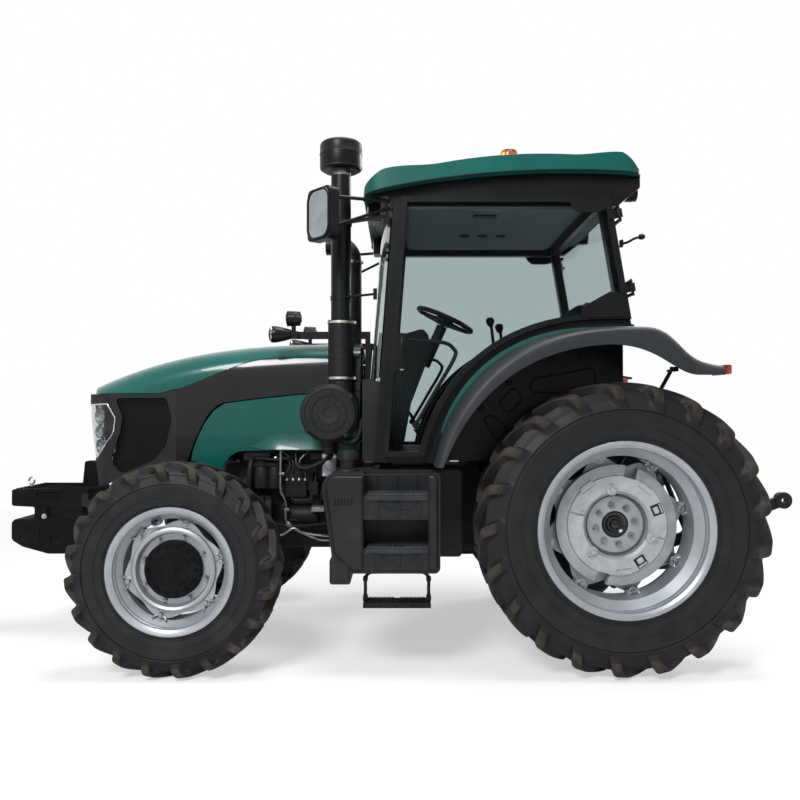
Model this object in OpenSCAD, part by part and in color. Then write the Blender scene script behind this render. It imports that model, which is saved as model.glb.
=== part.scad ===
// Four-wheel-drive farm tractor with an enclosed cab, in millimetres.
// X points forward, Y to the driver's left and Z up. The origin is on the ground,
// midway along the machine and on its centre plane.

/* [Overall] */
// Distance between the front and rear axles
wheelbase = 2330; // [2200:10:2800]
// From the front axle to the nose of the front weights
front_overhang = 1195; // [1150:5:1450]
// From the rear axle to the end of the raised lower links
rear_overhang = 1115; // [1000:5:1350]

/* [Wheels] */
// Rolling radius of the rear tyres
rear_tyre_r = 765; // [740:5:800]
// Rolling radius of the front tyres
front_tyre_r = 555; // [530:5:580]
// Section width of the rear tyres
rear_tyre_w = 430; // [380:5:460]
// Section width of the front tyres
front_tyre_w = 320; // [290:5:360]
// Rim flange radius of the rear wheels
rear_rim_r = 457; // [430:1:480]
// Rim flange radius of the front wheels
front_rim_r = 330; // [315:1:350]
// Rim width of the rear wheels over the flanges
rear_rim_w = 406; // [360:1:430]
// Rim width of the front wheels over the flanges
front_rim_w = 305; // [270:1:330]
// Distance between the rear tyre centres
rear_track = 1680; // [1660:10:1900]
// Distance between the front tyre centres
front_track = 1780; // [1720:10:1960]
// Thickness of the tyre casing
tyre_wall = 26; // [20:1:34]
// Thickness of the pressed rims and discs
rim_wall = 9; // [6:1:12]
// Bearing radius of the rear half shafts
half_shaft_r = 52; // [45:1:60]
// Radius of the front wheel spindles
spindle_r = 58; // [50:1:65]

/* [Steering] */
// From the front tyre centre in to the kingpin
kingpin_inset = 200; // [185:5:230]
// Kingpin radius
kingpin_r = 30; // [24:1:36]
// Steering arm length from kingpin to tie rod pin
steer_arm = 215; // [200:5:240]
// Tie rod radius
tie_rod_r = 17; // [14:1:20]
// Tie rod pin radius
tie_pin_r = 14; // [12:1:16]

/* [Bonnet] */
// Half width of the bonnet at the cab
bonnet_half_rear = 385; // [370:5:410]
// Half width of the bonnet at the nose
bonnet_half_front = 345; // [330:5:360]
// Height of the bonnet top at the cab
bonnet_rear_z = 1790; // [1760:5:1830]
// Fall of the bonnet top from the cab to the nose
bonnet_drop = 268; // [220:2:300]
// Thickness of the bonnet skin
bonnet_wall = 10; // [6:1:14]
// Radius of the bonnet hinge pins
bonnet_pin_r = 10; // [8:1:14]

/* [Cab] */
// Half width over the doors
cab_half_w = 796; // [770:2:820]
// Thickness of a door
door_wall = 40; // [30:1:50]
// Depth of the cab pillars
pillar_depth = 62; // [45:1:80]
// Height of the top of the door frame
cab_top_z = 2548; // [2480:4:2640]
// Height of the underside of the cab floor
cab_base_z = 1095; // [1090:1:1120]
// Thickness of the cab floor
floor_wall = 40; // [30:1:60]
// Thickness of the glass
glass_wall = 8; // [5:1:12]
// Radius of the door hinge pins
door_pin_r = 8; // [6:1:10]

/* [Fenders] */
// Reach of the flare in front of the rear axle
flare_reach = 1003; // [980:1:1050]
// Height of the flare above the rear axle
flare_rise = 1050; // [1020:2:1090]
// Depth of the flare's outer lip
flare_lip = 100; // [70:5:110]
// Thickness of the steel fender
fender_wall = 27; // [20:1:32]
// Half width over the flares
flare_half_w = 1060; // [1040:5:1160]

/* [Hitch] */
// Hole radius of the lower link balls
link_ball_bore_r = 14.35; // [11:0.05:18.5]
// Hole radius of the top link bracket
top_link_bore_r = 12.85; // [9.6:0.05:16]
// Hole radius of the drawbar pin
drawbar_bore_r = 16.5; // [12:0.5:20]
// Radius of the power take-off stub shaft
pto_r = 17.4; // [17:0.1:22.5]
// Reach of the lift arms
lift_arm = 320; // [260:5:340]

/* [Hidden] */
// Clearances: between parts that seat on each other, round pins and between moving panels
seat_gap = 0.3;
pin_gap = 0.5;
move_gap = 6;

// Axle places follow from the overall length
overall_len = wheelbase + front_overhang + rear_overhang;
rx = rear_overhang - overall_len / 2;
fx = rx + wheelbase;
nose_x = fx + front_overhang;
rz = rear_tyre_r;
fz = front_tyre_r;
rear_y = rear_track / 2;
front_y = front_track / 2;
kingpin_y = front_y - kingpin_inset;

// Planes that neighbouring parts share
engine_rear_x = rx + 1385;
engine_front_x = fx - 270;
gearbox_rear_x = rx + 330;
bonnet_rear_x = rx + 1392;
bonnet_front_x = fx + 705;
firewall_x = rx + 1300;
cab_side_y = cab_half_w - door_wall - move_gap;
pillar_in_y = cab_side_y - pillar_depth;
floor_top_z = cab_base_z + floor_wall;
fender_in = 0.6;
fender_out = fender_in + fender_wall;
fender_wall_y = rear_y - rear_tyre_w / 2 - 65;
support_top_z = 900;

$fn = 48;

// Shape helpers

function unit(v) = v / norm(v);
function smooth(t) = let (c = min(1, max(0, t))) c * c * (3 - 2 * c);
function arc(cx, cz, r, a0, a1, n = 8) =
    [for (k = [0:n]) let (a = a0 + (a1 - a0) * k / n) [cx + r * cos(a), cz + r * sin(a)]];
function corner_arc(a, b, c, r, n) =
    r <= 0 ? [b] :
    let (u = unit(a - b), v = unit(c - b), half = acos(u * v) / 2,
        t = min(r / tan(half), 0.49 * norm(a - b), 0.49 * norm(c - b)), rr = t * tan(half),
        m = b + unit(u + v) * (rr / sin(half)), s = b + u * t - m, e = b + v * t - m,
        a0 = atan2(s[1], s[0]), turn = (atan2(e[1], e[0]) - a0 + 540) % 360 - 180)
    [for (k = [0:n]) m + rr * [cos(a0 + turn * k / n), sin(a0 + turn * k / n)]];
// A closed outline with each corner rounded; r is one radius or one for each corner
function rounded(pts, r, n = 4) =
    let (c = len(pts))
    [for (i = [0:c - 1]) each corner_arc(pts[(i + c - 1) % c], pts[i], pts[(i + 1) % c],
        is_list(r) ? r[i] : r, n)];
// The wheel arch: a rounded outline about the rear axle, grown outward, between two turns
arch_n = 2.35;
function arch_point(grow, t) = [rx + sign(cos(t)) * (flare_reach + grow) * pow(abs(cos(t)), 2 / arch_n),
    rz + (flare_rise + grow) * pow(sin(t), 2 / arch_n)];
function arch_turn(grow, z) = asin(pow((z - rz) / (flare_rise + grow), arch_n / 2));
function arch(grow, t0, t1, n = 32) = [for (k = [0:n]) arch_point(grow, t0 + (t1 - t0) * k / n)];
function box2(x0, z0, x1, z1) = [[x0, z0], [x1, z0], [x1, z1], [x0, z1]];

// An outline in X and Z, extruded from y0 to y1
module span_y(y0, y1) { translate([0, y1, 0]) rotate([90, 0, 0]) linear_extrude(y1 - y0) children(); }
// An outline in Y and Z, extruded from x0 to x1
module span_x(x0, x1) { translate([x0, 0, 0]) rotate([90, 0, 90]) linear_extrude(x1 - x0) children(); }
// An outline in X and Y, extruded from z0 to z1
module span_z(z0, z1) { translate([0, 0, z0]) linear_extrude(z1 - z0) children(); }
module block(lo, hi) { translate(lo) cube(hi - lo); }
module rod_x(r, x0, x1) { translate([x0, 0, 0]) rotate([0, 90, 0]) cylinder(r = r, h = x1 - x0); }
module rod_y(r, y0, y1) { translate([0, y0, 0]) rotate([-90, 0, 0]) cylinder(r = r, h = y1 - y0); }
module rod_z(r, z0, z1) { translate([0, 0, z0]) cylinder(r = r, h = z1 - z0); }
// A straight round bar between two points
module bar(a, b, r) {
    d = b - a;
    translate(a) rotate([0, acos(d[2] / norm(d)), atan2(d[1], d[0])]) cylinder(r = r, h = norm(d));
}
// A profile of radius and Y, turned about the Y axis
module turn_y() { rotate([-90, 0, 0]) rotate_extrude() children(); }
module both_sides() { children(); mirror([0, 1, 0]) children(); }
module side(s) { if (s < 0) mirror([0, 1, 0]) children(); else children(); }

// A closed shell between an outer and an inner grid of points of the same size
module shell_loft(outer, inner) {
    r = len(outer);
    c = len(outer[0]);
    pts = concat([for (row = outer) each row], [for (row = inner) each row]);
    function o(i, j) = i * c + j;
    function n(i, j) = r * c + i * c + j;
    quads = concat(
        [for (i = [0:r - 2], j = [0:c - 2]) [o(i, j), o(i, j + 1), o(i + 1, j + 1), o(i + 1, j)]],
        [for (i = [0:r - 2], j = [0:c - 2]) [n(i, j), n(i + 1, j), n(i + 1, j + 1), n(i, j + 1)]],
        [for (i = [0:r - 2]) [o(i, 0), o(i + 1, 0), n(i + 1, 0), n(i, 0)]],
        [for (i = [0:r - 2]) [o(i + 1, c - 1), o(i, c - 1), n(i, c - 1), n(i + 1, c - 1)]],
        [for (j = [0:c - 2]) [o(0, j + 1), o(0, j), n(0, j), n(0, j + 1)]],
        [for (j = [0:c - 2]) [o(r - 1, j), o(r - 1, j + 1), n(r - 1, j + 1), n(r - 1, j)]]);
    polyhedron(pts, [for (q = quads) each [[q[0], q[1], q[2]], [q[0], q[2], q[3]]]]);
}

// Tyres, rims and wheel discs

flange_t = 12;
flange_h = 25;

// Half of a tyre's section from bead to crown, as radius and Y, drawn in by inset
function tyre_half(r, w, rim_r, rim_w, inset) =
    let (bead_y = rim_w / 2 - flange_t - seat_gap - inset, wide_y = w / 2 - inset,
        shoulder_r = r - 0.07 * r, wall_r = rim_r + 4)
    concat([[rim_r - flange_h + seat_gap, bead_y]],
        [for (k = [0:8]) let (t = k / 8)
            [wall_r + (shoulder_r - wall_r) * t,
             bead_y + (wide_y - bead_y) * pow(sin(112 * t), 0.7)]],
        [[r - inset - 0.022 * r, wide_y * 0.86], [r - inset - 0.006 * r, wide_y * 0.5], [r - inset, 0]]);

module tyre(r, w, rim_r, rim_w) {
    outer = tyre_half(r, w, rim_r, rim_w, 0);
    inner = tyre_half(r, w, rim_r, rim_w, tyre_wall);
    n = len(outer);
    turn_y() polygon(concat(outer, [for (k = [n - 2:-1:0]) [outer[k][0], -outer[k][1]]],
        [for (k = [0:n - 1]) [inner[k][0], -inner[k][1]]], [for (k = [n - 2:-1:0]) inner[k]]));
}

module rim(rim_r, rim_w) {
    y = rim_w / 2;
    outer = [[rim_r - 3, y], [rim_r, y - 3], [rim_r, y - flange_t], [rim_r - flange_h, y - flange_t],
        [rim_r - flange_h - 4, y - flange_t - 0.15 * rim_w],
        [rim_r - flange_h - 0.1 * rim_r, y - flange_t - 0.25 * rim_w]];
    // Curled flange, bead seat with a ridge, and the drop centre
    inner = [[rim_r - 9, y - 1], [rim_r - 20, y - 5], [rim_r - flange_h - rim_wall, y - flange_t - 3],
        [rim_r - flange_h - rim_wall, y - flange_t - 0.06 * rim_w],
        [rim_r - flange_h - rim_wall - 7, y - flange_t - 0.09 * rim_w],
        [rim_r - flange_h - rim_wall - 4, y - flange_t - 0.15 * rim_w],
        [rim_r - flange_h - rim_wall - 0.1 * rim_r, y - flange_t - 0.25 * rim_w]];
    last = len(inner) - 1;
    function flip(p) = [for (k = [len(p) - 1:-1:0]) [p[k][0], -p[k][1]]];
    turn_y() polygon(concat(outer, flip(outer), [for (k = [0:last]) [inner[k][0], -inner[k][1]]],
        [for (k = [last:-1:0]) inner[k]]));
}
function rim_inside_r(rim_r) = rim_r - flange_h - rim_wall - 0.1 * rim_r;

// A pressed disc whose lobes reach the rim, with scallops between them
function lobed(r_low, r_high, lobes, turn) =
    [for (k = [0:lobes * 12 - 1]) let (a = k * 360 / (lobes * 12),
        f = pow(0.5 + 0.5 * cos(lobes * (a - turn)), 0.8)) (r_low + (r_high - r_low) * f) *
            [cos(a), sin(a)]];

front_lobes = 6;
rear_lobes = 8;
front_lobe_turn = 45;
rear_lobe_turn = 31;
hub_bolts = 8;
lobe_lug_w = 70;

module lobe_lugs(rim_r, lobes, turn, y0, y1) {
    r_in = rim_inside_r(rim_r);
    for (k = [0:lobes - 1]) rotate([0, -turn - k * 360 / lobes, 0])
        block([r_in - 22, y0, -lobe_lug_w / 2], [r_in + 5, y1, lobe_lug_w / 2]);
}

// Front wheel about its own centre: Y runs outward
front_disc_y = 52;
front_hub_r = 150;
module front_wheel() {
    r_in = rim_inside_r(front_rim_r);
    color("silver") difference() {
        union() {
            rim(front_rim_r, front_rim_w);
            lobe_lugs(front_rim_r, front_lobes, front_lobe_turn, front_disc_y - 45, front_disc_y);
            difference() {
                span_y(front_disc_y, front_disc_y + 11) polygon(lobed(r_in - 34, r_in - 4,
                    front_lobes, front_lobe_turn));
                rod_y(205, front_disc_y - 1, front_disc_y + 12);
            }
            // Raised ring and sunk bolting face of the pressed disc
            turn_y() polygon([[front_hub_r + seat_gap, front_disc_y - 22], [187, front_disc_y - 22],
                [197, front_disc_y + 16], [206, front_disc_y + 22], [216, front_disc_y + 16],
                [222, front_disc_y], [222, front_disc_y + 11], [218, front_disc_y + 27],
                [206, front_disc_y + 33], [194, front_disc_y + 27], [183, front_disc_y - 11],
                [front_hub_r + seat_gap, front_disc_y - 11]]);
        }
        for (k = [0:hub_bolts - 1]) rotate([0, -k * 360 / hub_bolts - 17, 0])
            translate([168, 0, 0]) rod_y(8, front_disc_y - 30, front_disc_y);
    }
}

// Planetary hub drum with its bolting flange and end cap
front_hub_in_y = -70;
module front_hub() {
    cap_y = front_rim_w / 2 - 72;
    color("dimgray") difference() {
        turn_y() polygon([[0, front_hub_in_y], [130, front_hub_in_y], [138, front_hub_in_y + 16],
            [138, front_disc_y - 50], [185, front_disc_y - 50], [185, front_disc_y - 22 - seat_gap],
            [front_hub_r - 1, front_disc_y - 22 - seat_gap], [front_hub_r - 1, cap_y - 6],
            [front_hub_r - 8, cap_y], [60, cap_y + 4], [0, cap_y + 4]]);
        rod_y(spindle_r + pin_gap, front_hub_in_y - 1, 30);
        for (k = [0:13]) rotate([0, k * 360 / 14, 0]) translate([front_hub_r - 28, 0, 0])
            rod_y(11, cap_y - 4, cap_y + 10);
    }
}

// Rear wheel about its own centre: Y runs outward, with a deep dish to the hub flange
rear_disc_y = -78;
hub_flange_r = 162;
hub_recess_r = 72;
module rear_wheel() {
    r_in = rim_inside_r(rear_rim_r);
    color("silver") union() {
        rim(rear_rim_r, rear_rim_w);
        lobe_lugs(rear_rim_r, rear_lobes, rear_lobe_turn, rear_disc_y, rear_disc_y + 55);
        difference() {
            span_y(rear_disc_y - 12, rear_disc_y) polygon(lobed(r_in - 70, r_in - 6, rear_lobes,
                rear_lobe_turn));
            rod_y(half_shaft_r + 12, rear_disc_y - 20, rear_disc_y + 20);
        }
        difference() {
            turn_y() polygon([[0, rear_disc_y], [hub_flange_r, rear_disc_y],
                [hub_flange_r, rear_disc_y + 14],
                [hub_flange_r - 12, rear_disc_y + 26], [0, rear_disc_y + 26]]);
            rod_y(hub_recess_r, rear_disc_y + 12, rear_disc_y + 30);
            for (k = [0:hub_bolts - 1]) rotate([0, -k * 360 / hub_bolts - 35, 0])
                translate([106, 0, 0]) rod_y(9, rear_disc_y + 14, rear_disc_y + 30);
        }
        // Axle flange and half shaft, which run in the trumpet housing
        turn_y() polygon([[0, rear_disc_y - 12], [hub_flange_r, rear_disc_y - 12],
            [hub_flange_r, rear_disc_y - 34], [half_shaft_r + 25, rear_disc_y - 44],
            [half_shaft_r, rear_disc_y - 60], [half_shaft_r, rear_disc_y - 190], [0, rear_disc_y - 190]]);
    }
}

// Cast ring weight bolted to the rear disc
weight_in_r = 168;
weight_out_r = 322;
weight_wall = 78;
weight_bolts = [81, 200, 314];
module wheel_weight() {
    y0 = rear_disc_y + seat_gap;
    y1 = y0 + weight_wall;
    color("silver") difference() {
        union() {
            turn_y() polygon([[weight_in_r, y0], [weight_out_r - 22, y0], [weight_out_r, y0 + 18],
                [weight_out_r, y1 - 20], [weight_out_r - 52, y1 - 6], [weight_out_r - 58, y1],
                [weight_in_r + 14, y1], [weight_in_r, y1 - 14]]);
            for (a = weight_bolts) rotate([0, -a, 0]) translate([weight_in_r + 26, 0, 0])
                rod_y(30, y1 - 30, y1 + 9);
        }
        // Hand slots and the split line of the two half rings
        for (a = [105, 286]) rotate([0, -a, 0])
            block([weight_out_r - 62, y0 - 1, -34], [weight_out_r + 5, y1 + 5, 34]);
        for (a = [16, 196]) rotate([0, -a, 0])
            block([weight_in_r - 5, y1 - 12, -3], [weight_out_r + 5, y1 + 5, 3]);
        // Bolt pockets and hook pockets
        for (a = weight_bolts) rotate([0, -a, 0]) translate([weight_in_r + 26, 0, 0])
            rod_y(15, y1 - 4, y1 + 12);
        for (a = [158, 237]) rotate([0, -a, 0])
            block([weight_out_r - 112, y1 - 26, -22], [weight_out_r - 76, y1 + 5, 22]);
    }
}

// Chassis castings

// Trunnions on the front axle, which the front support hangs on
trunnion_r = 62;
trunnion_in = 172;
trunnion_out = 262;
hanger_r = 92;
rail_in_y = 190;
rail_out_y = 240;

module front_support() {
    rail_z0 = 735;
    front_x = fx + 600;
    color("#1c1d1f") difference() {
        union() {
            // Side rails with a lightened outline
            both_sides() span_y(rail_in_y, rail_out_y) polygon(rounded([[engine_front_x, 660],
                [fx - 200, rail_z0], [fx + 320, rail_z0], [front_x, 690], [front_x, 872],
                [fx + 470, support_top_z], [engine_front_x, support_top_z]], [0, 40, 40, 0, 0, 30, 0]));
            block([engine_front_x, -rail_out_y, 660], [engine_front_x + 40, rail_out_y, support_top_z]);
            block([front_x - 60, -rail_out_y, 690], [front_x, rail_out_y, 872]);
            // Hangers round the axle trunnions
            for (s = [-1, 1]) translate([fx + s * (trunnion_in + trunnion_out) / 2, 0, 0]) {
                block([-36, -rail_in_y, rail_z0], [36, rail_in_y, 800]);
                translate([0, 0, fz]) rod_x(hanger_r, -36, 36);
                span_x(-36, 36) polygon([[-hanger_r, fz], [hanger_r, fz], [rail_in_y, rail_z0 + 5],
                    [-rail_in_y, rail_z0 + 5]]);
            }
            // Radiator bed
            block([fx + 90, -rail_out_y, support_top_z - 20], [fx + 360, rail_out_y, support_top_z]);
            weight_carrier(front_x);
        }
        translate([0, 0, fz]) rod_x(trunnion_r + pin_gap, fx - 400, fx + 400);
    }
}

// Cast carrier that the weights hang on
carrier_w = 210;
carrier_top_z = 872;
carrier_reach = 165;
module weight_carrier(x0) {
    block([x0, -carrier_w, 700], [x0 + 30, carrier_w, carrier_top_z]);
    span_y(-carrier_w + 12, carrier_w - 12) polygon([[x0 + 30, 720], [x0 + carrier_reach - 25, 790],
        [x0 + carrier_reach, 800], [x0 + carrier_reach, carrier_top_z],
            [x0 + carrier_reach - 40, carrier_top_z],
        [x0 + carrier_reach - 40, 835], [x0 + 30, 835]]);
}

// Suitcase weights: each hooks over the carrier's lip
weight_count = 8;
weight_pitch = 48;
weight_plate = 47.2;
module front_weights() {
    lip_x = fx + 600 + carrier_reach;
    top_z = 905;
    low_z = 506;
    prong = 139;
    outline = rounded([[lip_x - 34, top_z], [nose_x - 12, top_z - 6], [nose_x, top_z - 14],
        [nose_x, 800], [nose_x - 20, 796], [nose_x - prong, 790], [nose_x - prong, 718],
        [nose_x - 20, 716], [nose_x, 696], [nose_x, 590], [nose_x - 67, 549], [nose_x - 224, low_z],
        [lip_x + 34, low_z], [lip_x + seat_gap, 600], [lip_x + seat_gap, carrier_top_z + seat_gap],
        [lip_x - 34, carrier_top_z + seat_gap]],
        [12, 8, 8, 14, 6, 10, 10, 6, 14, 30, 20, 20, 20, 12, 0, 0]);
    color("#191a1c") for (k = [0:weight_count - 1])
        translate([0, (k - (weight_count - 1) / 2) * weight_pitch, 0]) difference() {
            span_y(-weight_plate / 2, weight_plate / 2) polygon(outline);
            if (k == 0 || k == weight_count - 1) {
                s = k == 0 ? -1 : 1;
                // Cast pockets on the outer faces
                translate([0, s * weight_plate / 2, 0]) {
                    span_y(-9, 9) polygon(rounded(box2(nose_x - 300, 845, nose_x - 150, 880), 8));
                    span_y(-9, 9) polygon(rounded(box2(nose_x - 262, 725, nose_x - 212, 790), 8));
                    span_y(-6, 6) polygon(rounded(box2(nose_x - 300, 590, nose_x - 170, 650), 10));
                }
            }
        }
    // Upright guard plate
    color("#191a1c") translate([lip_x - 20, 0, top_z]) union() {
        block([0, -60, seat_gap], [90, 60, 20]);
        span_y(-40, 40) polygon(rounded([[0, 19], [75, 19], [62, 157], [6, 157]], [0, 0, 14, 14]));
    }
}

// Diesel engine: sump, crankcase, head, valve cover, and the pieces on its sides
module engine() {
    x0 = engine_rear_x;
    x1 = engine_front_x;
    case_y = 250;
    head_z = 1185;
    cover_z = 1430;
    color("#161719") union() {
        span_y(-case_y, case_y) polygon([[x0, 640], [x0 + 90, 620], [x1, 660], [x1, head_z], [x0, head_z]]);
        // Sump
        span_x(x0 + 60, x1 - 120) polygon(rounded([[-190, 661], [-150, 535], [150, 535], [190, 661]],
            [0, 40, 40, 0]));
        // Bell end that meets the clutch housing
        span_x(x0, x0 + 60) polygon(rounded([[-285, 700], [-200, 610], [200, 610], [285, 700],
            [285, 960], [180, 1080], [-180, 1080], [-285, 960]], 40));
        // Cylinder head and valve cover
        span_y(-205, 205) polygon([[x0 + 40, head_z], [x1 + 30, head_z], [x1 + 30, cover_z],
            [x0 + 40, cover_z]]);
        span_x(x0 + 70, x1) polygon(rounded([[-150, cover_z], [-135, 1545], [135, 1545], [150, cover_z]],
            [0, 50, 50, 0]));
        // Timing case over the front support
        block([x1, -225, support_top_z + 6], [x1 + 70, 225, head_z + 60]);
        translate([0, 0, 1180]) {
            rod_x(95, x1 + 70, x1 + 110);
            rod_x(45, x1 + 110, fx - 6);
            rod_x(255, fx - 30, fx + 6);
        }
        // Intake manifold, injection pump and filters on the left
        span_y(205, 285) polygon(rounded(box2(x0 + 90, 1250, x1 - 20, 1350), 30));
        span_y(case_y, 330) polygon(rounded(box2(x0 + 290, 905, x1 - 130, 1060), 25));
        translate([x0 + 150, 305, 0]) rod_z(52, 860, 1090);
        translate([x0 + 265, 308, 0]) rod_z(42, 760, 890);
        block([x0 + 105, case_y, 1090], [x0 + 300, 350, 1130]);
        block([x0 + 225, case_y, 850], [x0 + 305, 345, 905]);
        translate([x1 - 75, 285, 1120]) rod_x(68, -60, 75);
        // Exhaust manifold, starter and oil filter on the right
        span_y(-275, -205) polygon(rounded(box2(x0 + 70, 1240, x1 - 60, 1330), 30));
        translate([x0, -300, 800]) rod_x(58, 60, 330);
        translate([x0 + 480, -300, 0]) rod_z(50, 690, 880);
        block([x0 + 60, -300, 745], [x0 + 330, -case_y, 855]);
        block([x0 + 430, -300, 840], [x0 + 530, -case_y, 900]);
    }
}

// Radiator pack on the front support
module radiator() {
    x0 = fx + 110;
    x1 = fx + 320;
    half = 296;
    z0 = support_top_z + seat_gap;
    color("#202226") union() {
        block([x0, -half, z0], [x1 - 60, half, 1430]);
        block([x0 + 20, -half + 20, 1430], [x1 - 80, half - 20, 1490]);
        // Oil cooler and condenser in front of the core
        for (k = [0:11]) block([x1 - 60, -half + 20, z0 + 50 + k * 40],
            [x1 - 20, half - 20, z0 + 74 + k * 40]);
        both_sides() block([x1 - 60, half - 44, z0], [x1, half - 20, 1400]);
    }
}

// Clutch housing and gearbox, with the brackets that carry tank and steps
step_in_y = 585;
module transmission() {
    x1 = engine_rear_x;
    x0 = gearbox_rear_x;
    color("#1b1c1e") union() {
        span_x(x1 - 60, x1) polygon(rounded([[-285, 700], [-200, 610], [200, 610], [285, 700],
            [285, 960], [180, 1060], [-180, 1060], [-285, 960]], 40));
        span_y(-215, 215) polygon([[x0, 560], [x1 - 430, 560], [x1 - 300, 600], [x1 - 60, 640],
            [x1 - 60, 1020], [x1 - 220, 1045], [x0, 1045]]);
        // Ribs of the casting
        for (x = [x1 - 220, x1 - 470, x1 - 720, x1 - 950])
            span_x(x - 12, x + 12) polygon(rounded(box2(-238, 600, 238, 1030), 30));
        // Step and tank carriers
        for (x = [rx + 1040, rx + 1318]) both_sides()
            block([x, 200, 720], [x + 60, step_in_y - seat_gap, 780]);
        // Cab mounts
        for (x = [rx + 1240, rx + 920]) both_sides() {
            block([x - 45, 150, 985], [x + 45, 300, 1040]);
            translate([x, 255, 0]) rod_z(38, 1040, cab_base_z - seat_gap);
        }
        // Front drive shaft guard
        translate([0, 0, 520]) rod_x(48, rx + 700, engine_rear_x - 20);
        block([rx + 700, -110, 510], [rx + 840, 110, 565]);
    }
}

// Rear axle: centre housing, trumpets, hitch housing, power take-off and link brackets
trumpet_r = 120;
trumpet_out_y = rear_y + rear_disc_y - 46 - 18;
lift_x = rx - 85;
lift_z = 980;
link_x = rx - 125;
link_z = 480;
link_pin_y = 330;
link_pin_r = 16;
rock_r = 38;
module rear_axle() {
    x1 = gearbox_rear_x;
    tail_x = rx - 290;
    color("#1b1c1e") difference() {
        union() {
            span_y(-215, 215) polygon(rounded([[x1, 520], [x1, 1045], [rx + 60, 1060], [tail_x + 40, 1060],
                [tail_x, 900], [tail_x, 520], [rx - 120, 470], [rx + 200, 470]],
                    [0, 0, 30, 40, 40, 60, 60, 60]));
            translate([rx, 0, rz]) both_sides() turn_y() polygon([[0, 200], [150, 200], [150, 240],
                [trumpet_r, 320], [trumpet_r, trumpet_out_y - 60], [trumpet_r + 10, trumpet_out_y - 40],
                    [trumpet_r + 10, trumpet_out_y], [0, trumpet_out_y]]);
            // Rock shaft that carries the lift arms
            translate([lift_x, 0, lift_z]) rod_y(rock_r + 34, -225, 225);
            translate([lift_x, 0, lift_z]) rod_y(rock_r, -300, 300);
            // Front pins of the lower links
            translate([link_x, 0, link_z]) both_sides() {
                rod_y(link_pin_r, 200, link_pin_y + 34);
                rod_y(46, 200, link_pin_y - 24);
            }
            block([link_x - 60, -220, link_z - 50], [link_x + 90, 220, 540]);
            // Top link bracket
            both_sides() span_y(32, 56) polygon(rounded([[tail_x + 2, 905], [tail_x - 75, 870],
                [tail_x - 75, 790],
                [tail_x + 2, 755]], [0, 30, 30, 0]));
            // Power take-off stub, its seal boss and its guard
            translate([0, 0, 660]) {
                rod_x(62, tail_x - 18, tail_x + 5);
                rod_x(pto_r, tail_x - 95, tail_x);
            }
            both_sides() block([tail_x - 120, 118, 640], [tail_x + 5, 126, 745]);
            block([tail_x - 120, -126, 737], [tail_x + 5, 126, 745]);
        }
        // Half shaft bores
        translate([rx, 0, rz]) both_sides() rod_y(half_shaft_r + pin_gap, trumpet_out_y - 170,
            trumpet_out_y + 1);
        translate([tail_x - 40, 0, 830]) rod_y(top_link_bore_r, -60, 60);
    }
}

// Swinging drawbar under the rear axle, fixed in line
drawbar_end_x = rx - 560;
module drawbar() {
    z1 = 428 - seat_gap;
    color("#1b1c1e") difference() {
        union() {
            block([drawbar_end_x + 35, -38, z1 - 45], [rx + 190, 38, z1]);
            translate([drawbar_end_x + 35, 0, 0]) rod_z(38, z1 - 45, z1);
            // Hanger loop below the link housing
            for (x = [link_x - 40, link_x + 40]) both_sides() block([x - 20, 38, z1 - 70],
                [x + 20, 62, z1]);
            for (x = [link_x - 40, link_x + 40]) block([x - 20, -62, z1 - 70], [x + 20, 62, z1 - 45]);
            block([rx + 150, -50, z1 - 1], [rx + 190, 50, 470 - seat_gap]);
        }
        translate([drawbar_end_x + 35, 0, 0]) rod_z(drawbar_bore_r, z1 - 60, z1 + 10);
    }
}

// Front axle beam with its differential, trunnions and kingpin eyes
eye_r = 62;
eye_half = 95;
module front_axle() {
    color("#1b1c1e") translate([fx, 0, fz]) difference() {
        union() {
            turn_y() polygon([[0, -kingpin_y + 40], [74, -kingpin_y + 40], [80, -330], [105, -250],
                [160, -130],
                [160, 130], [105, 250], [80, 330], [74, kingpin_y - 40], [0, kingpin_y - 40]]);
            rod_x(trunnion_r, -trunnion_out - 12, trunnion_out + 12);
            rod_x(40, -trunnion_out - 24, 0);
            both_sides() {
                translate([0, kingpin_y, 0]) rod_z(eye_r, -eye_half, eye_half);
                block([-58, kingpin_y - 140, -80], [58, kingpin_y - 20, 80]);
            }
        }
        both_sides() translate([0, kingpin_y, 0]) rod_z(kingpin_r + pin_gap, -eye_half - 1, eye_half + 1);
    }
}

// Steering knuckle about its kingpin: the fork, the spindle and the steering arm
fork_gap = 5;
fork_t = 52;
arm_z0 = -148;
arm_t = 30;
module knuckle() {
    web_y = eye_r + 9;
    spindle_y = kingpin_inset;
    color("#1b1c1e") union() {
        for (s = [-1, 1]) translate([0, 0, s * (eye_half + fork_gap + fork_t / 2)]) {
            rod_z(eye_r, -fork_t / 2, fork_t / 2);
            block([-55, 0, -fork_t / 2], [55, web_y + 30, fork_t / 2]);
        }
        rod_z(kingpin_r, -eye_half - fork_gap - 10, eye_half + fork_gap + 10);
        block([-55, web_y, -eye_half - 10], [55, web_y + 30, eye_half + 10]);
        turn_y() polygon([[0, web_y], [115, web_y], [122, web_y + 20],
            [122, spindle_y + front_hub_in_y - 8],
            [70, spindle_y + front_hub_in_y - 6], [spindle_r, spindle_y + front_hub_in_y],
                [spindle_r, spindle_y + 22],
            [0, spindle_y + 22]]);
        // Steering arm with its tie rod pin
        span_z(arm_z0, arm_z0 + arm_t) polygon(concat(arc(0, 0, 48, -90, 90, 8), arc(-steer_arm, 0, 34,
            90, 270, 8)));
        translate([-steer_arm, 0, 0]) rod_z(tie_pin_r, arm_z0 - 40, arm_z0 + 5);
    }
}
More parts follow.
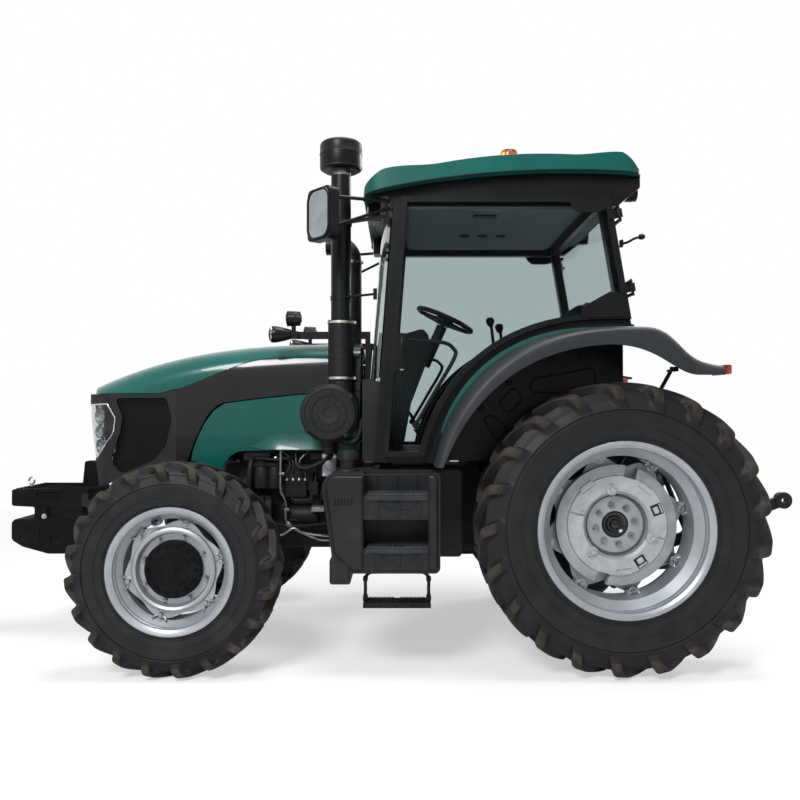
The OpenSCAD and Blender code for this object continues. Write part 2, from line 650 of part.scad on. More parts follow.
module placed_knuckle(s) { translate([fx, s * kingpin_y, fz]) side(s) knuckle(); }

tie_eye_r = 30;
module tie_rod() {
    z = fz + arm_z0 - 21;
    color("#222326") difference() {
        union() {
            translate([fx - steer_arm, 0, z]) rod_y(tie_rod_r, -kingpin_y + 20, kingpin_y - 20);
            for (s = [-1, 1]) translate([fx - steer_arm, s * kingpin_y, z]) rod_z(tie_eye_r, -15, 15);
        }
        for (s = [-1, 1]) translate([fx - steer_arm, s * kingpin_y, z]) rod_z(tie_pin_r + pin_gap, -40, 40);
    }
}

// Bonnet: a crowned shell lofted along X, with side bands and a meshed nose

bonnet_len = bonnet_front_x - bonnet_rear_x;
shoulder_h = 200;
shoulder_n = 3.2;
nose_sweep = 120;
seam_rear_z = bonnet_rear_z - 100;
seam_front_z = 1480;
band_end_u = 0.66;
function bonnet_x(u) = bonnet_rear_x + u * bonnet_len;
function bonnet_top(u) = bonnet_rear_z - bonnet_drop * pow(u, 2.8);
function bonnet_half(u) = bonnet_half_rear - (bonnet_half_rear - bonnet_half_front) * u * u;
function seam_z(u) = seam_rear_z - (seam_rear_z - seam_front_z) * smooth((u - 0.3) / 0.47);
// Lower edge of the side band, where the fixed side panel begins
function band_low_z(u) = u < 0.47 ? 1496 - 66 * pow(u / 0.47, 1.6)
    : 1430 - 355 * pow((min(u, 0.62) - 0.47) / 0.15, 2.2);
function section_y(u, z, wall) =
    let (w = bonnet_half(u) - wall, base = bonnet_top(u) - shoulder_h)
    z <= base ? w : w * pow(max(0, 1 - pow((z - base) / (shoulder_h - wall), shoulder_n)), 1 / shoulder_n);
function section_turn(u, wall) =
    acos(pow(max(0.02, (seam_z(u) - bonnet_top(u) + shoulder_h) / (shoulder_h - wall)), shoulder_n / 2));
function bonnet_section(u, wall, m = 9) =
    [for (j = [-m:m]) let (t = abs(j) / m * section_turn(u, wall), w = bonnet_half(u) - wall,
        h = shoulder_h - wall, y = sign(j) * w * pow(sin(t), 2 / shoulder_n))
        [bonnet_x(u) - nose_sweep * pow(u, 5) * pow(abs(y) / w, 2.5) - (u == 1 ? wall : 0), y,
         bonnet_top(u) - shoulder_h + h * pow(cos(t), 2 / shoulder_n)]];
function bonnet_grid(wall) =
    let (rows = [for (k = [0:15]) bonnet_section(pow(k / 15, 0.8), wall)], last = rows[15])
    concat(rows, [[for (p = last) [p[0] + 8, p[1], min(p[2] - 1, seam_front_z + 1)]]]);

rib_us = [0.1, 0.36];
rib_wall = 8;
// A flat rib across the skin at one station, from height z0 to z1; it stops inside the skin at its top
module rib(u, ahead, z0, z1, depth) {
    translate([bonnet_x(u) + ahead, 0, 0]) rotate([90, 0, 90]) linear_extrude(rib_wall) polygon([
        [section_y(u, z0, bonnet_wall) - depth, z0],
            [section_y(u, z0, bonnet_wall) - (depth > 20 ? 4 : -4), z0],
        [section_y(u, z1, bonnet_wall) + 4, z1], [section_y(u, z1, bonnet_wall) - depth, z1]]);
}
bonnet_hinge_x = bonnet_rear_x + 30;
bonnet_hinge_z = bonnet_rear_z - 75;
bonnet_hinge_y = 190;
module bonnet() {
    color("#0f5a4c") difference() {
        union() {
            shell_loft(bonnet_grid(0), bonnet_grid(bonnet_wall));
            // Hinge straps under the skin
            both_sides() span_y(bonnet_hinge_y, bonnet_hinge_y + 30) polygon(concat(
                arc(bonnet_hinge_x, bonnet_hinge_z, 22, 180, 330, 6),
                [[bonnet_hinge_x + 150, bonnet_hinge_z + 61], [bonnet_hinge_x - 22, bonnet_hinge_z + 61]]));
            // Ribs that the side bands are screwed to
            both_sides() for (u = rib_us) rib(u, 0, seam_z(u) - 70, seam_z(u) + 40, 34);
        }
        translate([bonnet_hinge_x, 0, bonnet_hinge_z]) rod_y(bonnet_pin_r + pin_gap, -300, 300);
    }
}

band_cols = [0, 0.12, 0.24, 0.36, 0.44, 0.49, 0.53, 0.56, 0.58, 0.6, 0.62, band_end_u];
function band_grid(wall, rows = 5) =
    [for (u = band_cols) [for (k = [0:rows])
        let (z1 = seam_z(u) - 4.2, z0 = band_low_z(u), z = z0 + (z1 - z0) * k / rows)
        [bonnet_x(u), -section_y(u, z, wall), z]]];
module bonnet_bands() {
    color("#141619") both_sides() union() {
        shell_loft(band_grid(0), band_grid(bonnet_wall));
        mirror([0, 1, 0]) for (u = rib_us) rib(u, rib_wall + seat_gap, seam_z(u) - 70, seam_z(u) - 20, 14);
    }
}

// Nose: the overlap of a plan outline and a side outline, hollowed by the same outlines drawn in
nose_rear_x = bonnet_x(band_end_u) + 0.5;
nose_low_x = fx + 620;
nose_low_z = 930;
function nose_plan(inset) =
    let (x1 = bonnet_front_x - inset, w0 = bonnet_half(band_end_u) - inset,
        w1 = bonnet_half_front + 2 - inset)
    rounded([[nose_rear_x, -w0], [bonnet_front_x - 130, -w1], [x1, -250 + inset * 0.4],
        [x1, 250 - inset * 0.4], [bonnet_front_x - 130, w1], [nose_rear_x, w0]], [0, 100, 80, 80, 100, 0]);
function nose_side(inset, open) =
    let (rake = (bonnet_front_x + 8 - nose_low_x) / (seam_front_z - 3 - nose_low_z) * open)
    [[nose_rear_x - open, 1062 - open], [nose_low_x - inset - rake, nose_low_z - open],
     [bonnet_front_x + 8 - inset + rake, seam_front_z - 3 + open],
     for (u = [0.77, 0.74, 0.71, 0.68]) [bonnet_x(u), seam_z(u) - move_gap + open],
     [nose_rear_x - open, seam_z(band_end_u) - move_gap + open]];
module nose_solid(inset, open) {
    intersection() {
        span_z(800, 1600) polygon(nose_plan(inset));
        span_y(-420, 420) polygon(nose_side(inset, open));
    }
}
module nose_skin(inset, wall) { difference() { nose_solid(inset, 0); nose_solid(inset + wall, 50); } }

function lamp_outline(grow) =
    rounded([[bonnet_front_x + 60, 1412 + grow], [bonnet_front_x - 142, 1418 + grow],
        [bonnet_front_x - 192 - grow, 1334], [bonnet_front_x - 180 - grow, 1240],
        [bonnet_front_x - 66, 1095 - grow], [bonnet_front_x + 60, 1095 - grow]], [0, 12, 20, 20, 20, 0]);
mesh_outline = rounded([[nose_rear_x + 60, 1452], [nose_rear_x + 24, 1330], [nose_rear_x + 60, 1170],
    [nose_rear_x + 130, 1085], [nose_low_x - 150, 1005], [nose_low_x - 75, 1075],
    [bonnet_front_x - 222, 1250], [bonnet_front_x - 236, 1340], [bonnet_front_x - 190, 1452]],
    [20, 90, 60, 40, 30, 40, 30, 30, 20]);
front_mesh_y = 128;
front_mesh_outline = rounded(box2(-front_mesh_y, 1010, front_mesh_y, 1440), 30);
module grille() {
    color("#17191b") difference() {
        nose_skin(0, bonnet_wall);
        span_y(-420, 420) polygon(mesh_outline);
        both_sides() span_y(front_mesh_y + 18, 420) polygon(lamp_outline(1.5));
        span_x(nose_low_x - 120, bonnet_front_x + 60) polygon(front_mesh_outline);
    }
}

// Woven screens behind the nose openings, with a regular pattern of slots
mesh_pitch_x = 44;
mesh_pitch_z = 34;
mesh_bar = 12;
mesh_wall = 4;
module mesh_slots(x0, x1, z0, z1) {
    for (i = [0:floor((x1 - x0) / mesh_pitch_x)], k = [0:floor((z1 - z0) / mesh_pitch_z)])
        translate([x0 + i * mesh_pitch_x, z0 + k * mesh_pitch_z])
            square([mesh_pitch_x - mesh_bar, mesh_pitch_z - mesh_bar]);
}
module grille_mesh() {
    inset = bonnet_wall + seat_gap;
    color("#0d0e0f") difference() {
        intersection() {
            nose_skin(inset, mesh_wall);
            union() {
                span_y(-420, 420) polygon(rounded([[nose_rear_x + 40, 1465], [nose_rear_x + 8, 1330],
                    [nose_rear_x + 44, 1160], [nose_rear_x + 118, 1072], [nose_low_x - 146, 990],
                    [nose_low_x - 60, 1068], [bonnet_front_x - 206, 1250], [bonnet_front_x - 218, 1344],
                    [bonnet_front_x - 174, 1465]], 20));
                span_x(nose_low_x - 120, bonnet_front_x + 60)
                    polygon(box2(-front_mesh_y - 12, 1000, front_mesh_y + 12, 1450));
            }
        }
        intersection() {
            span_y(-420, 420) mesh_slots(nose_rear_x + 60, nose_low_x - 80, 1040, 1440);
            span_y(-420, 420) polygon(mesh_outline);
        }
        span_x(nose_low_x - 120, bonnet_front_x + 60)
            mesh_slots(-front_mesh_y + 14, front_mesh_y - 30, 1030, 1410);
    }
}
lamp_depth = 70;
module headlamps() {
    color("gainsboro") both_sides() intersection() {
        nose_skin(2, lamp_depth);
        span_y(front_mesh_y + 20, 420) polygon(lamp_outline(0));
    }
}

// Fixed side panels below the bands, cut away for the front wheels
panel_in = 3;
module engine_side_panels() {
    top = [for (u = band_cols) if (u <= 0.6) [bonnet_x(u) - move_gap - 1, band_low_z(u) - move_gap]];
    front_x = bonnet_x(0.6);
    low_z = 1142;
    color("#0f5a4c") both_sides() intersection() {
        span_y(300, 420) polygon(concat(top, [[bonnet_x(0.612) - move_gap - 3, 1085],
            [front_x - 190, 1028]], arc(front_x - 310, 1002, 140, 20, 90, 6), [[bonnet_rear_x, low_z]]));
        span_z(900, 1600) polygon(concat(
            [for (k = [0:6]) let (u = k / 6 * 0.65) [bonnet_x(u), bonnet_half(u) - panel_in]],
            [for (k = [6:-1:0]) let (u = k / 6 * 0.65)
                [bonnet_x(u), bonnet_half(u) - panel_in - bonnet_wall]]));
    }
    // Stays from the engine to the panels
    both_sides() for (u = [0.12, 0.4]) let (x = bonnet_x(u))
        block([x, 205 + seat_gap, 1372], [x + 40, bonnet_half(u + 0.03) - panel_in - bonnet_wall / 2,
            1396]);
}

// Cab

// Outline of the cab side in X and Z; each inset moves one edge inward
front_low_x = rx + 1300;
front_lean = 110;
rear_top_x = rx + 15;
rear_lean = 113;
waist_z = 1880;
function cab_outline(front, top, rear, low, foot) =
    let (z1 = cab_top_z - top, z0 = cab_base_z + foot,
        fa = front_low_x - front, ra = rear_top_x + rear, grow = fender_out + seat_gap + low,
        lean = front_lean / (cab_top_z - cab_base_z), back = rear_lean / (cab_top_z - waist_z),
        zr = rz + flare_rise + grow)
    concat([[fa, z0], [fa - lean * (z1 - z0), z1], [ra, z1], [ra - back * (z1 - zr), zr]],
        arch(grow, 90, arch_turn(grow, z0)));
function front_face_x(z) = front_low_x - front_lean * (z - cab_base_z) / (cab_top_z - cab_base_z);

front_post_w = 85;
post_w = 52;
module cab_frame() {
    color("#121315") union() {
        both_sides() {
            span_y(pillar_in_y, cab_side_y) difference() {
                polygon(cab_outline(0, 0, 0, 0, 0));
                polygon(cab_outline(front_post_w, 58, post_w, 40, 60));
            }
            // Hinge pins on the rear posts
            for (z = hinge_zs) translate([hinge_x(z), hinge_y, z]) rotate([0, hinge_tilt, 0]) {
                rod_z(door_pin_r, -45, 45);
                for (s = [-1, 1]) {
                    block([2 - door_pin_r, pillar_in_y + 6 - hinge_y, s * 34 - 8],
                        [door_pin_r - 2, 0, s * 34 + 8]);
                    block([door_pin_r - 3, pillar_in_y + 6 - hinge_y, s * 34 - 7],
                        [46, cab_side_y - 3 - hinge_y, s * 34 + 7]);
                }
            }
        }
        // Cross rails at the top, and the sill under the rear window
        block([rear_top_x + 2, -pillar_in_y - 1, cab_top_z - 58],
            [rear_top_x + 60, pillar_in_y + 1, cab_top_z]);
        block([front_low_x - front_lean - 60, -pillar_in_y - 1, cab_top_z - 58],
            [front_low_x - front_lean - 2, pillar_in_y + 1, cab_top_z]);
        block([rx - 70, -pillar_in_y - 1, waist_z], [rx - 20, pillar_in_y + 1, waist_z + 60]);
    }
}

// Floor, seat deck, firewall and rear bulkhead
deck_z = 1372;
shroud_in_y = 440;
deck_x = rx + 640;
floor_x = arch_point(fender_out, arch_turn(fender_out, cab_base_z))[0] + 2;
low_window_y = 430;
low_window_z = [1500, 1820];
module cab_floor() {
    half = fender_wall_y - seat_gap;
    color("#191b1d") difference() { union() {
        block([floor_x, -pillar_in_y + seat_gap, cab_base_z],
            [firewall_x, pillar_in_y - seat_gap, floor_top_z]);
        span_y(-half, half) polygon([[floor_x + 1, cab_base_z], [floor_x + 1, floor_top_z],
            [deck_x + 40, floor_top_z],
            [deck_x + 40, deck_z], [rx - 60, deck_z], [rx - 60, waist_z - seat_gap],
                [rx - 100, waist_z - seat_gap],
            [rx - 100, deck_z - 40], [deck_x, deck_z - 40], [deck_x, cab_base_z]]);
        // Firewall up to the windscreen foot
        span_y(-pillar_in_y + seat_gap, pillar_in_y - seat_gap) polygon([[firewall_x - 40, floor_top_z],
            [firewall_x, floor_top_z], [firewall_x, screen_low_z - 20],
                [firewall_x - 30, screen_low_z - 20]]);
        // Closing boxes in front of the firewall, outboard of the engine bay
        both_sides() block([firewall_x - 1, shroud_in_y, cab_base_z + 6],
            [bonnet_rear_x - 27, pillar_in_y - 8, screen_low_z - 10]);
        // Bonnet hinge brackets and pins on the firewall
        both_sides() span_y(bonnet_hinge_y - 40, bonnet_hinge_y - 12) polygon(
            [[firewall_x, screen_low_z - 180],
            [firewall_x, screen_low_z - 100], [bonnet_hinge_x - 34, screen_low_z - 60],
            [bonnet_hinge_x - 20, bonnet_hinge_z + 16], [bonnet_hinge_x + 16, bonnet_hinge_z + 12],
            [bonnet_hinge_x + 10, screen_low_z - 110], [bonnet_hinge_x - 60, screen_low_z - 180]]);
        translate([bonnet_hinge_x, 0, bonnet_hinge_z]) both_sides()
            rod_y(bonnet_pin_r, bonnet_hinge_y - 20, bonnet_hinge_y + 36);
        // Rear cab mounts on the trumpets
        both_sides() block([rx - 45, 400, rz + trumpet_r + seat_gap], [rx + 45, 490, deck_z - 38]);
    }
    block([rx - 110, -low_window_y, low_window_z[0]], [rx - 50, low_window_y, low_window_z[1]]);
    }
}

// Windscreen, bowed forward between the front posts
screen_low_z = 1560;
screen_bow = 70;
module windscreen() {
    half = pillar_in_y + 2;
    r = (half * half + screen_bow * screen_bow) / (2 * screen_bow);
    tilt = atan(front_lean / (cab_top_z - cab_base_z));
    foot_x = front_low_x - front_lean * (screen_low_z - cab_base_z) / (cab_top_z - cab_base_z);
    h = cab_top_z - 6 - screen_low_z;
    color("lightblue") translate([foot_x + glass_wall + 1, 0, screen_low_z]) rotate([0, -tilt, 0])
        translate([screen_bow - r, 0, 0]) intersection() {
            difference() { rod_z(r, 0, h, $fn = 900); rod_z(r - glass_wall, -1, h + 1, $fn = 900); }
            block([0, -half, 0], [r + 1, half, h]);
        }
}

// Doors hang on leaning hinge pins behind their rear edge
hinge_y = cab_half_w + 14;
hinge_zs = [2040, 2440];
hinge_tilt = atan(rear_lean / (cab_top_z - waist_z));
function hinge_x(z) = rear_top_x - 20 - rear_lean * (cab_top_z - z) / (cab_top_z - waist_z);
door_edge = 30;
door_front = 50;
door_low = 30;
door_foot = 32;
function door_outline(inset) =
    cab_outline(door_front + inset, 12 + inset, 5 + inset, door_low + inset, door_foot + inset);
module door() {
    color("#121315") difference() {
        union() {
            span_y(cab_half_w - door_wall, cab_half_w) difference() {
                polygon(door_outline(0));
                polygon(door_outline(door_edge));
            }
            // Hinge barrels
            for (z = hinge_zs) translate([hinge_x(z), hinge_y, z]) rotate([0, hinge_tilt, 0]) {
                rod_z(18, -22, 22);
                block([2, -24, -22], [62, -2, 22]);
            }
            // Lock case and pull handle at the front edge
            block([lock_x - lock_w, cab_half_w - door_wall + 2, lock_z[0]],
                [lock_x + 20, cab_half_w - 2, lock_z[1]]);
            for (z = [lock_z[0] + 10, lock_z[1] - 32])
                block([lock_x - 44, cab_half_w - 3, z], [lock_x - 14, cab_half_w + 26, z + 22]);
            block([lock_x - 44, cab_half_w + 14, lock_z[0] + 10],
                [lock_x - 14, cab_half_w + 28, lock_z[1] - 10]);
        }
        for (z = hinge_zs) translate([hinge_x(z), hinge_y, z]) rotate([0, hinge_tilt, 0])
            rod_z(door_pin_r + pin_gap, -30, 30);
    }
}
lock_x = front_face_x(1680) - door_front - door_edge;
lock_w = 58;
lock_z = [1590, 1790];
module door_glass() {
    y = cab_half_w - door_wall / 2;
    color("lightblue") difference() {
        span_y(y - glass_wall / 2, y + glass_wall / 2) polygon(door_outline(door_edge + seat_gap));
        block([lock_x - lock_w - seat_gap, y - 40, lock_z[0] - seat_gap],
            [lock_x + 60, y + 40, lock_z[1] + seat_gap]);
    }
}

// Rear glass: one pane between the rear posts and a low one in the bulkhead
module rear_window() {
    half = pillar_in_y - seat_gap;
    z0 = waist_z + 60 + seat_gap;
    z1 = cab_top_z - 58 - seat_gap;
    function x(z) = rear_top_x + 26 - rear_lean * (cab_top_z - z) / (cab_top_z - waist_z);
    color("lightblue") union() {
        span_y(-half, half) polygon([[x(z0), z0], [x(z0) + glass_wall, z0], [x(z1) + glass_wall, z1],
            [x(z1), z1]]);
        block([rx - 84, -low_window_y + seat_gap, low_window_z[0] + seat_gap],
            [rx - 84 + glass_wall, low_window_y - seat_gap, low_window_z[1] - seat_gap]);
    }
}

// Roof: a lofted cap over a flat liner that carries the lamps
roof_front_x = rx + 1358;
roof_rear_x = rx - 162;
roof_half_w = 830;
roof_crown = 40;
roof_edge = 26;
liner_front_x = rx + 1310;
liner_rear_x = rx - 90;
function roof_s(x) = (x - roof_rear_x) / (roof_front_x - roof_rear_x);
// Heights of the roof's lower edge and crown above the door frame, from rear to front
function roof_low(s) = cab_top_z + 112 + 95 * s - 205 * pow(max(0, s), 2.2);
function roof_top(s) = roof_low(s) + 42 + 88 * pow(sin(180 * min(1, max(0, 0.1 + 0.82 * s))), 0.5);
module roof() {
    rows = 16;
    cols = 12;
    function s(k) = 0.5 + 0.5 * sin(-90 + 180 * k / rows);
    function half(k) = let (t = min(0.985, abs(2 * s(k) - 1))) roof_half_w * pow(1 - pow(t, 7), 1 / 7);
    function x(k) = roof_rear_x + s(k) * (roof_front_x - roof_rear_x);
    top = [for (k = [0:rows]) [for (j = [0:cols]) let (v = sin(-90 + 180 * j / cols))
        [x(k), v * half(k), roof_top(s(k)) - roof_crown * pow(abs(v), 3) - roof_edge * pow(abs(v), 14)]]];
    low = [for (k = [0:rows]) [for (j = [0:cols]) let (v = sin(-90 + 180 * j / cols))
        [x(k), v * half(k), roof_low(s(k))]]];
    color("#0f5a4c") union() {
        shell_loft(top, low);
        translate([beacon_x, beacon_y, 0]) rod_z(62, roof_low(0.5) + 30, beacon_z);
    }
}
module roof_liner() {
    n = 10;
    color("#121315") span_y(-cab_side_y + 4, cab_side_y - 4) polygon(concat(
        [[liner_rear_x, cab_top_z + seat_gap], [liner_front_x, cab_top_z + seat_gap]],
        [for (k = [0:n]) let (x = liner_front_x + (liner_rear_x - liner_front_x) * k / n)
            [x, roof_low(roof_s(x)) - 3 * seat_gap]]));
}
beacon_x = rx + 522;
beacon_y = 450;
beacon_z = cab_top_z + 252;
module beacon() {
    color("orange") translate([beacon_x, beacon_y, beacon_z + seat_gap]) rotate_extrude()
        polygon([[0, 0], [62, 0], [62, 18], [55, 20], [52, 70], [44, 88], [24, 96], [0, 98]]);
}
module work_lamps() {
    color("#17181a") both_sides() {
        translate([0, 600, cab_top_z + 58]) rod_x(50, liner_rear_x - 82, liner_rear_x - seat_gap);
        block([liner_front_x - 40, 430, cab_top_z - 92], [liner_front_x + 26, 560, cab_top_z]);
    }
}

// Steel fenders, which are the cab's lower sides, and the plastic flares on them
module fenders() {
    foot = arch_turn(fender_out, cab_base_z);
    color("#0f5a4c") both_sides() {
        span_y(fender_wall_y, fender_wall_y + 16) polygon(concat(arch(fender_out, 90, foot),
            [[rx - 104, cab_base_z], [rx - 104, rz + flare_rise + fender_out]]));
        span_y(fender_wall_y + 1, cab_half_w + 4) polygon(concat(arch(fender_out, 90, foot),
            [for (p = arch(fender_in, arch_turn(fender_in, cab_base_z), 90)) p],
            [[rx - 104, rz + flare_rise + fender_in], [rx - 104, rz + flare_rise + fender_out]]));
    }
}
flare_in_y = 640;
flare_wall = 24;
tail_reach = 494;
function bezier(p, n) = [for (k = [0:n]) let (t = k / n, r = 1 - t)
    r * r * r * p[0] + 3 * r * r * t * p[1] + 3 * r * t * t * p[2] + t * t * t * p[3]];
// Upper line of the tail behind the axle: a hump that hollows towards the lip
function flare_tail(d) = bezier([[rx - 113, rz + flare_rise - 2 - d], [rx - 300, rz + flare_rise - 2 - d],
    [rx - 270, rz + 872 - d], [rx - tail_reach, rz + 852 - d]], 10);
module fender_flares() {
    z_foot = cab_base_z - 10;
    function foot(g) = arch_turn(g, z_foot);
    // The lip narrows towards the front foot
    function lip(f) = -flare_lip * (1 - 0.62 * pow(f, 3));
    tail = flare_tail(0);
    inner_tail = flare_tail(flare_wall);
    color("#232629") both_sides() union() {
        span_y(flare_half_w - 26, flare_half_w) polygon(concat(arch(0, foot(0), 90), tail,
            [[rx - tail_reach - 2, rz + 793]],
            bezier([[rx - 360, rz + 793], [rx - 225, rz + 805], [rx - 170, rz + flare_rise - flare_lip],
                arch_point(-flare_lip, 86)], 10),
            [for (f = [1 / 24:1 / 24:1.001]) arch_point(lip(f), 86 + (foot(lip(f)) - 86) * f)]));
        span_y(flare_in_y, flare_half_w - 25) polygon(concat(arch(0, foot(0), 90), tail,
            [for (k = [len(tail) - 1:-1:0]) inner_tail[k]], arch(-flare_wall, 90, foot(-flare_wall))));
    }
}

// Stays from the tails down to the axle trumpets
stay_r = 11;
module fender_stays() {
    y = fender_wall_y + 40;
    p = flare_tail(flare_wall)[8];
    foot_z = rz + trumpet_r + seat_gap;
    color("#17181a") both_sides() union() {
        span_y(flare_in_y + seat_gap, flare_in_y + 30) polygon(box2(p[0], p[1] - 26, p[0] + 40,
            p[1] - seat_gap));
        block([p[0], y - 15, p[1] - 26], [p[0] + 40, flare_in_y + 29, p[1] - 14]);
        bar([p[0] + 20, y, p[1] - 20], [rx + 20, y, foot_z + 20], stay_r);
        block([rx - 10, y - 20, foot_z], [rx + 50, y + 20, foot_z + 30]);
    }
}
module rear_lamps() {
    x = rx - tail_reach - 2 - seat_gap;
    color("#7a1512") both_sides() span_y(flare_half_w - 190, flare_half_w - 8)
        polygon(rounded(box2(x - 30, rz + 797, x, rz + 845), [8, 0, 0, 8]));
}

// Fuel tank with the boarding steps let into it; the box on the right is its mirror image
tank_front_x = rx + 1563;
tank_rear_x = rx + 949;
tank_out_y = 985;
tank_top_z = 1058;
tank_low_z = 538;
step_x = [rx + 985, rx + 1345];
step_back_y = 790;
step_zs = [[668, 815], [940, 1100]];
step_grooves = [0.2, 0.5, 0.8];
module step_body() {
    difference() {
        union() {
            span_y(step_in_y, tank_out_y) polygon(rounded([[tank_front_x, 1000],
                [tank_front_x - 50, tank_top_z],
                [tank_rear_x, tank_top_z], [tank_rear_x, tank_low_z], [tank_front_x - 153, tank_low_z],
                [tank_front_x - 153, 482], [tank_front_x - 43, 482], [tank_front_x - 43, 605],
                [tank_front_x - 55, 625]], [60, 40, 30, 30, 10, 16, 16, 6, 20]));
            // Locker behind the steps
            span_y(450, 610) polygon(rounded(box2(rx + 812, 560, tank_rear_x, 1045), 20));
            block([tank_rear_x - 1, step_in_y, 600], [tank_rear_x + 40, 608, 1000]);
        }
        for (z = step_zs) {
            block([step_x[0], step_back_y, z[0]], [step_x[1], tank_out_y + 20, z[1]]);
            // Moulded grooves in the risers
            for (f = step_grooves) translate([step_x[0] + f * (step_x[1] - step_x[0]), 0, 0])
                block([-8, step_back_y - 10, z[0] + 4], [8, step_back_y + 1, z[1]]);
        }
    }
}
filler_x = rx + 1433;
module fuel_tank() {
    color("#1a1c1e") union() {
        step_body();
        translate([filler_x, 860, 0]) {
            rod_z(42, tank_top_z - 10, tank_top_z + 60);
            rod_z(52, tank_top_z + 60, tank_top_z + 104);
        }
    }
}
module right_step_box() { color("#1a1c1e") mirror([0, 1, 0]) step_body(); }

// Steel rungs hung under the tank and the box
rung_z = [356, 386];
rung_x = [rx + 993, rx + 1352];
rung_t = 14;
module hanging_steps() {
    color("#1f2123") both_sides() {
        block([rung_x[0], 830, rung_z[0]], [rung_x[1], 975, rung_z[1]]);
        for (x = [rung_x[0], rung_x[1] - rung_t])
            block([x, 872, rung_z[1] - 1], [x + rung_t, 932, tank_low_z - seat_gap]);
    }
}

// Air cleaner, intake stack and pre-cleaner on the left
canister_x = rx + 1552;
canister_z = 1362;
canister_r = 155;
hose_r = 71;
pipe_r = 56;
stack_x = rx + 1495;
stack_y = 520;
module air_intake() {
    panel_y = bonnet_half(0.1) - panel_in + seat_gap;
    color("#16181a") union() {
        translate([canister_x, 0, canister_z]) {
            turn_y() polygon([[0, 430], [canister_r - 20, 430], [canister_r, 450], [canister_r, 625],
                [canister_r + 7, 628], [canister_r + 7, 650], [canister_r - 10, 664], [0, 664]]);
            block([-40, panel_y, -30], [40, 440, 30]);
        }
        translate([stack_x, stack_y, 0]) {
            rod_z(hose_r, canister_z + 60, 1892);
            rod_z(pipe_r, 1890, 2722);
            rod_z(42, 2720, 2750);
            rotate_extrude() polygon([[0, 2747], [95, 2747], [120, 2762], [120, 2840], [112, 2888],
                [78, 2916], [0, 2925]]);
        }
        // Stay to the front post
        translate([stack_x, stack_y, 0]) rod_z(pipe_r + 7, 2436, 2464);
        stay_x = front_face_x(2436) + seat_gap;
        block([stay_x, 694, 2436], [stay_x + 18, 742, 2464]);
        span_z(2442, 2458) polygon([[stack_x - 8, stack_y], [stack_x + 8, stack_y + 20],
            [stay_x + 20, 718], [stay_x + 6, 700]]);
    }
}

// Exhaust on the right, turned forward at the top
exhaust_x = rx + 1490;
exhaust_y = 500;
exhaust_r = 66;
exhaust_bend = 100;
module exhaust() {
    panel_y = bonnet_half(0.1) - panel_in + seat_gap;
    top_z = 2424;
    color("#3a3c3f") mirror([0, 1, 0]) union() {
        translate([exhaust_x, 0, 1405]) rod_y(52, panel_y, exhaust_y);
        translate([exhaust_x, exhaust_y, 0]) {
            rod_z(54, 1405, 1660);
            rod_z(exhaust_r, 1650, top_z);
            translate([exhaust_bend, 0, top_z]) rotate([90, 0, 0]) rotate(
                [0, 0, 90]) rotate_extrude(angle = 90)
                translate([exhaust_bend, 0]) circle(r = exhaust_r - 2);
            translate([0, 0, top_z + exhaust_bend]) rod_x(exhaust_r - 2, exhaust_bend, exhaust_bend + 78);
        }
    }
}

// Mirrors on arms from the front posts
mirror_x = rx + 1567;
mirror_y = 850;
mirror_z = 2423;
module mirrors() {
    foot_x = front_face_x(2480) + seat_gap;
    color("#141517") both_sides() {
        block([foot_x, 696, 2480], [foot_x + 16, 744, 2545]);
        bar([foot_x + 8, 722, 2525], [mirror_x - 20, mirror_y, 2525], 10);
        bar([foot_x + 8, 722, 2495], [mirror_x - 20, mirror_y, 2350], 9);
        translate([mirror_x, mirror_y, mirror_z]) rotate([0, 0, 40])
            span_x(-30, 30) polygon(rounded(box2(-105, -139, 105, 139), 32));
    }
}

// Indicator arms beside the bonnet
arm_y = 418;
module front_indicators() {
    post_x = firewall_x + 30;
    color("#141517") both_sides() {
        block([firewall_x + seat_gap, arm_y - 13, 1400], [post_x + 5, arm_y + 13, 1500]);
        block([post_x, arm_y - 13, 1400], [post_x + 30, arm_y + 13, 1838]);
        block([post_x, arm_y - 13, 1796], [rx + 1795, arm_y + 13, 1838]);
        translate([rx + 1795, arm_y + 36, 1820]) rotate([0, 90, 0]) rotate_extrude()
            polygon([[0, -6], [28, -6], [40, 40], [48, 80], [48, 104], [0, 112]]);
        block([rx + 1750, arm_y - 13, 1796], [rx + 1795, arm_y + 50, 1838]);
        translate([rx + 1775, arm_y + 26, 0]) rod_z(13, 1836, 1880);
        translate([rx + 1775, arm_y + 26, 1912]) rod_x(42, -38, 38);
    }
}

// Seat with its cushions, on a pedestal
module seat() {
    color("#26282b") union() {
        block([rx + 180, -170, deck_z + seat_gap], [rx + 500, 170, 1490]);
        span_y(-245, 245) polygon(rounded([[rx + 90, 1485], [rx + 570, 1500], [rx + 575, 1610],
            [rx + 480, 1612],
            [rx + 100, 1580]], [20, 30, 40, 20, 20]));
        span_y(-235, 235) polygon(rounded([[rx + 30, 1500], [rx + 150, 1500], [rx + 155, 1600],
            [rx + 90, 2040],
            [rx + 60, 2082], [rx - 5, 2070]], [20, 20, 40, 40, 40, 40]));
    }
}

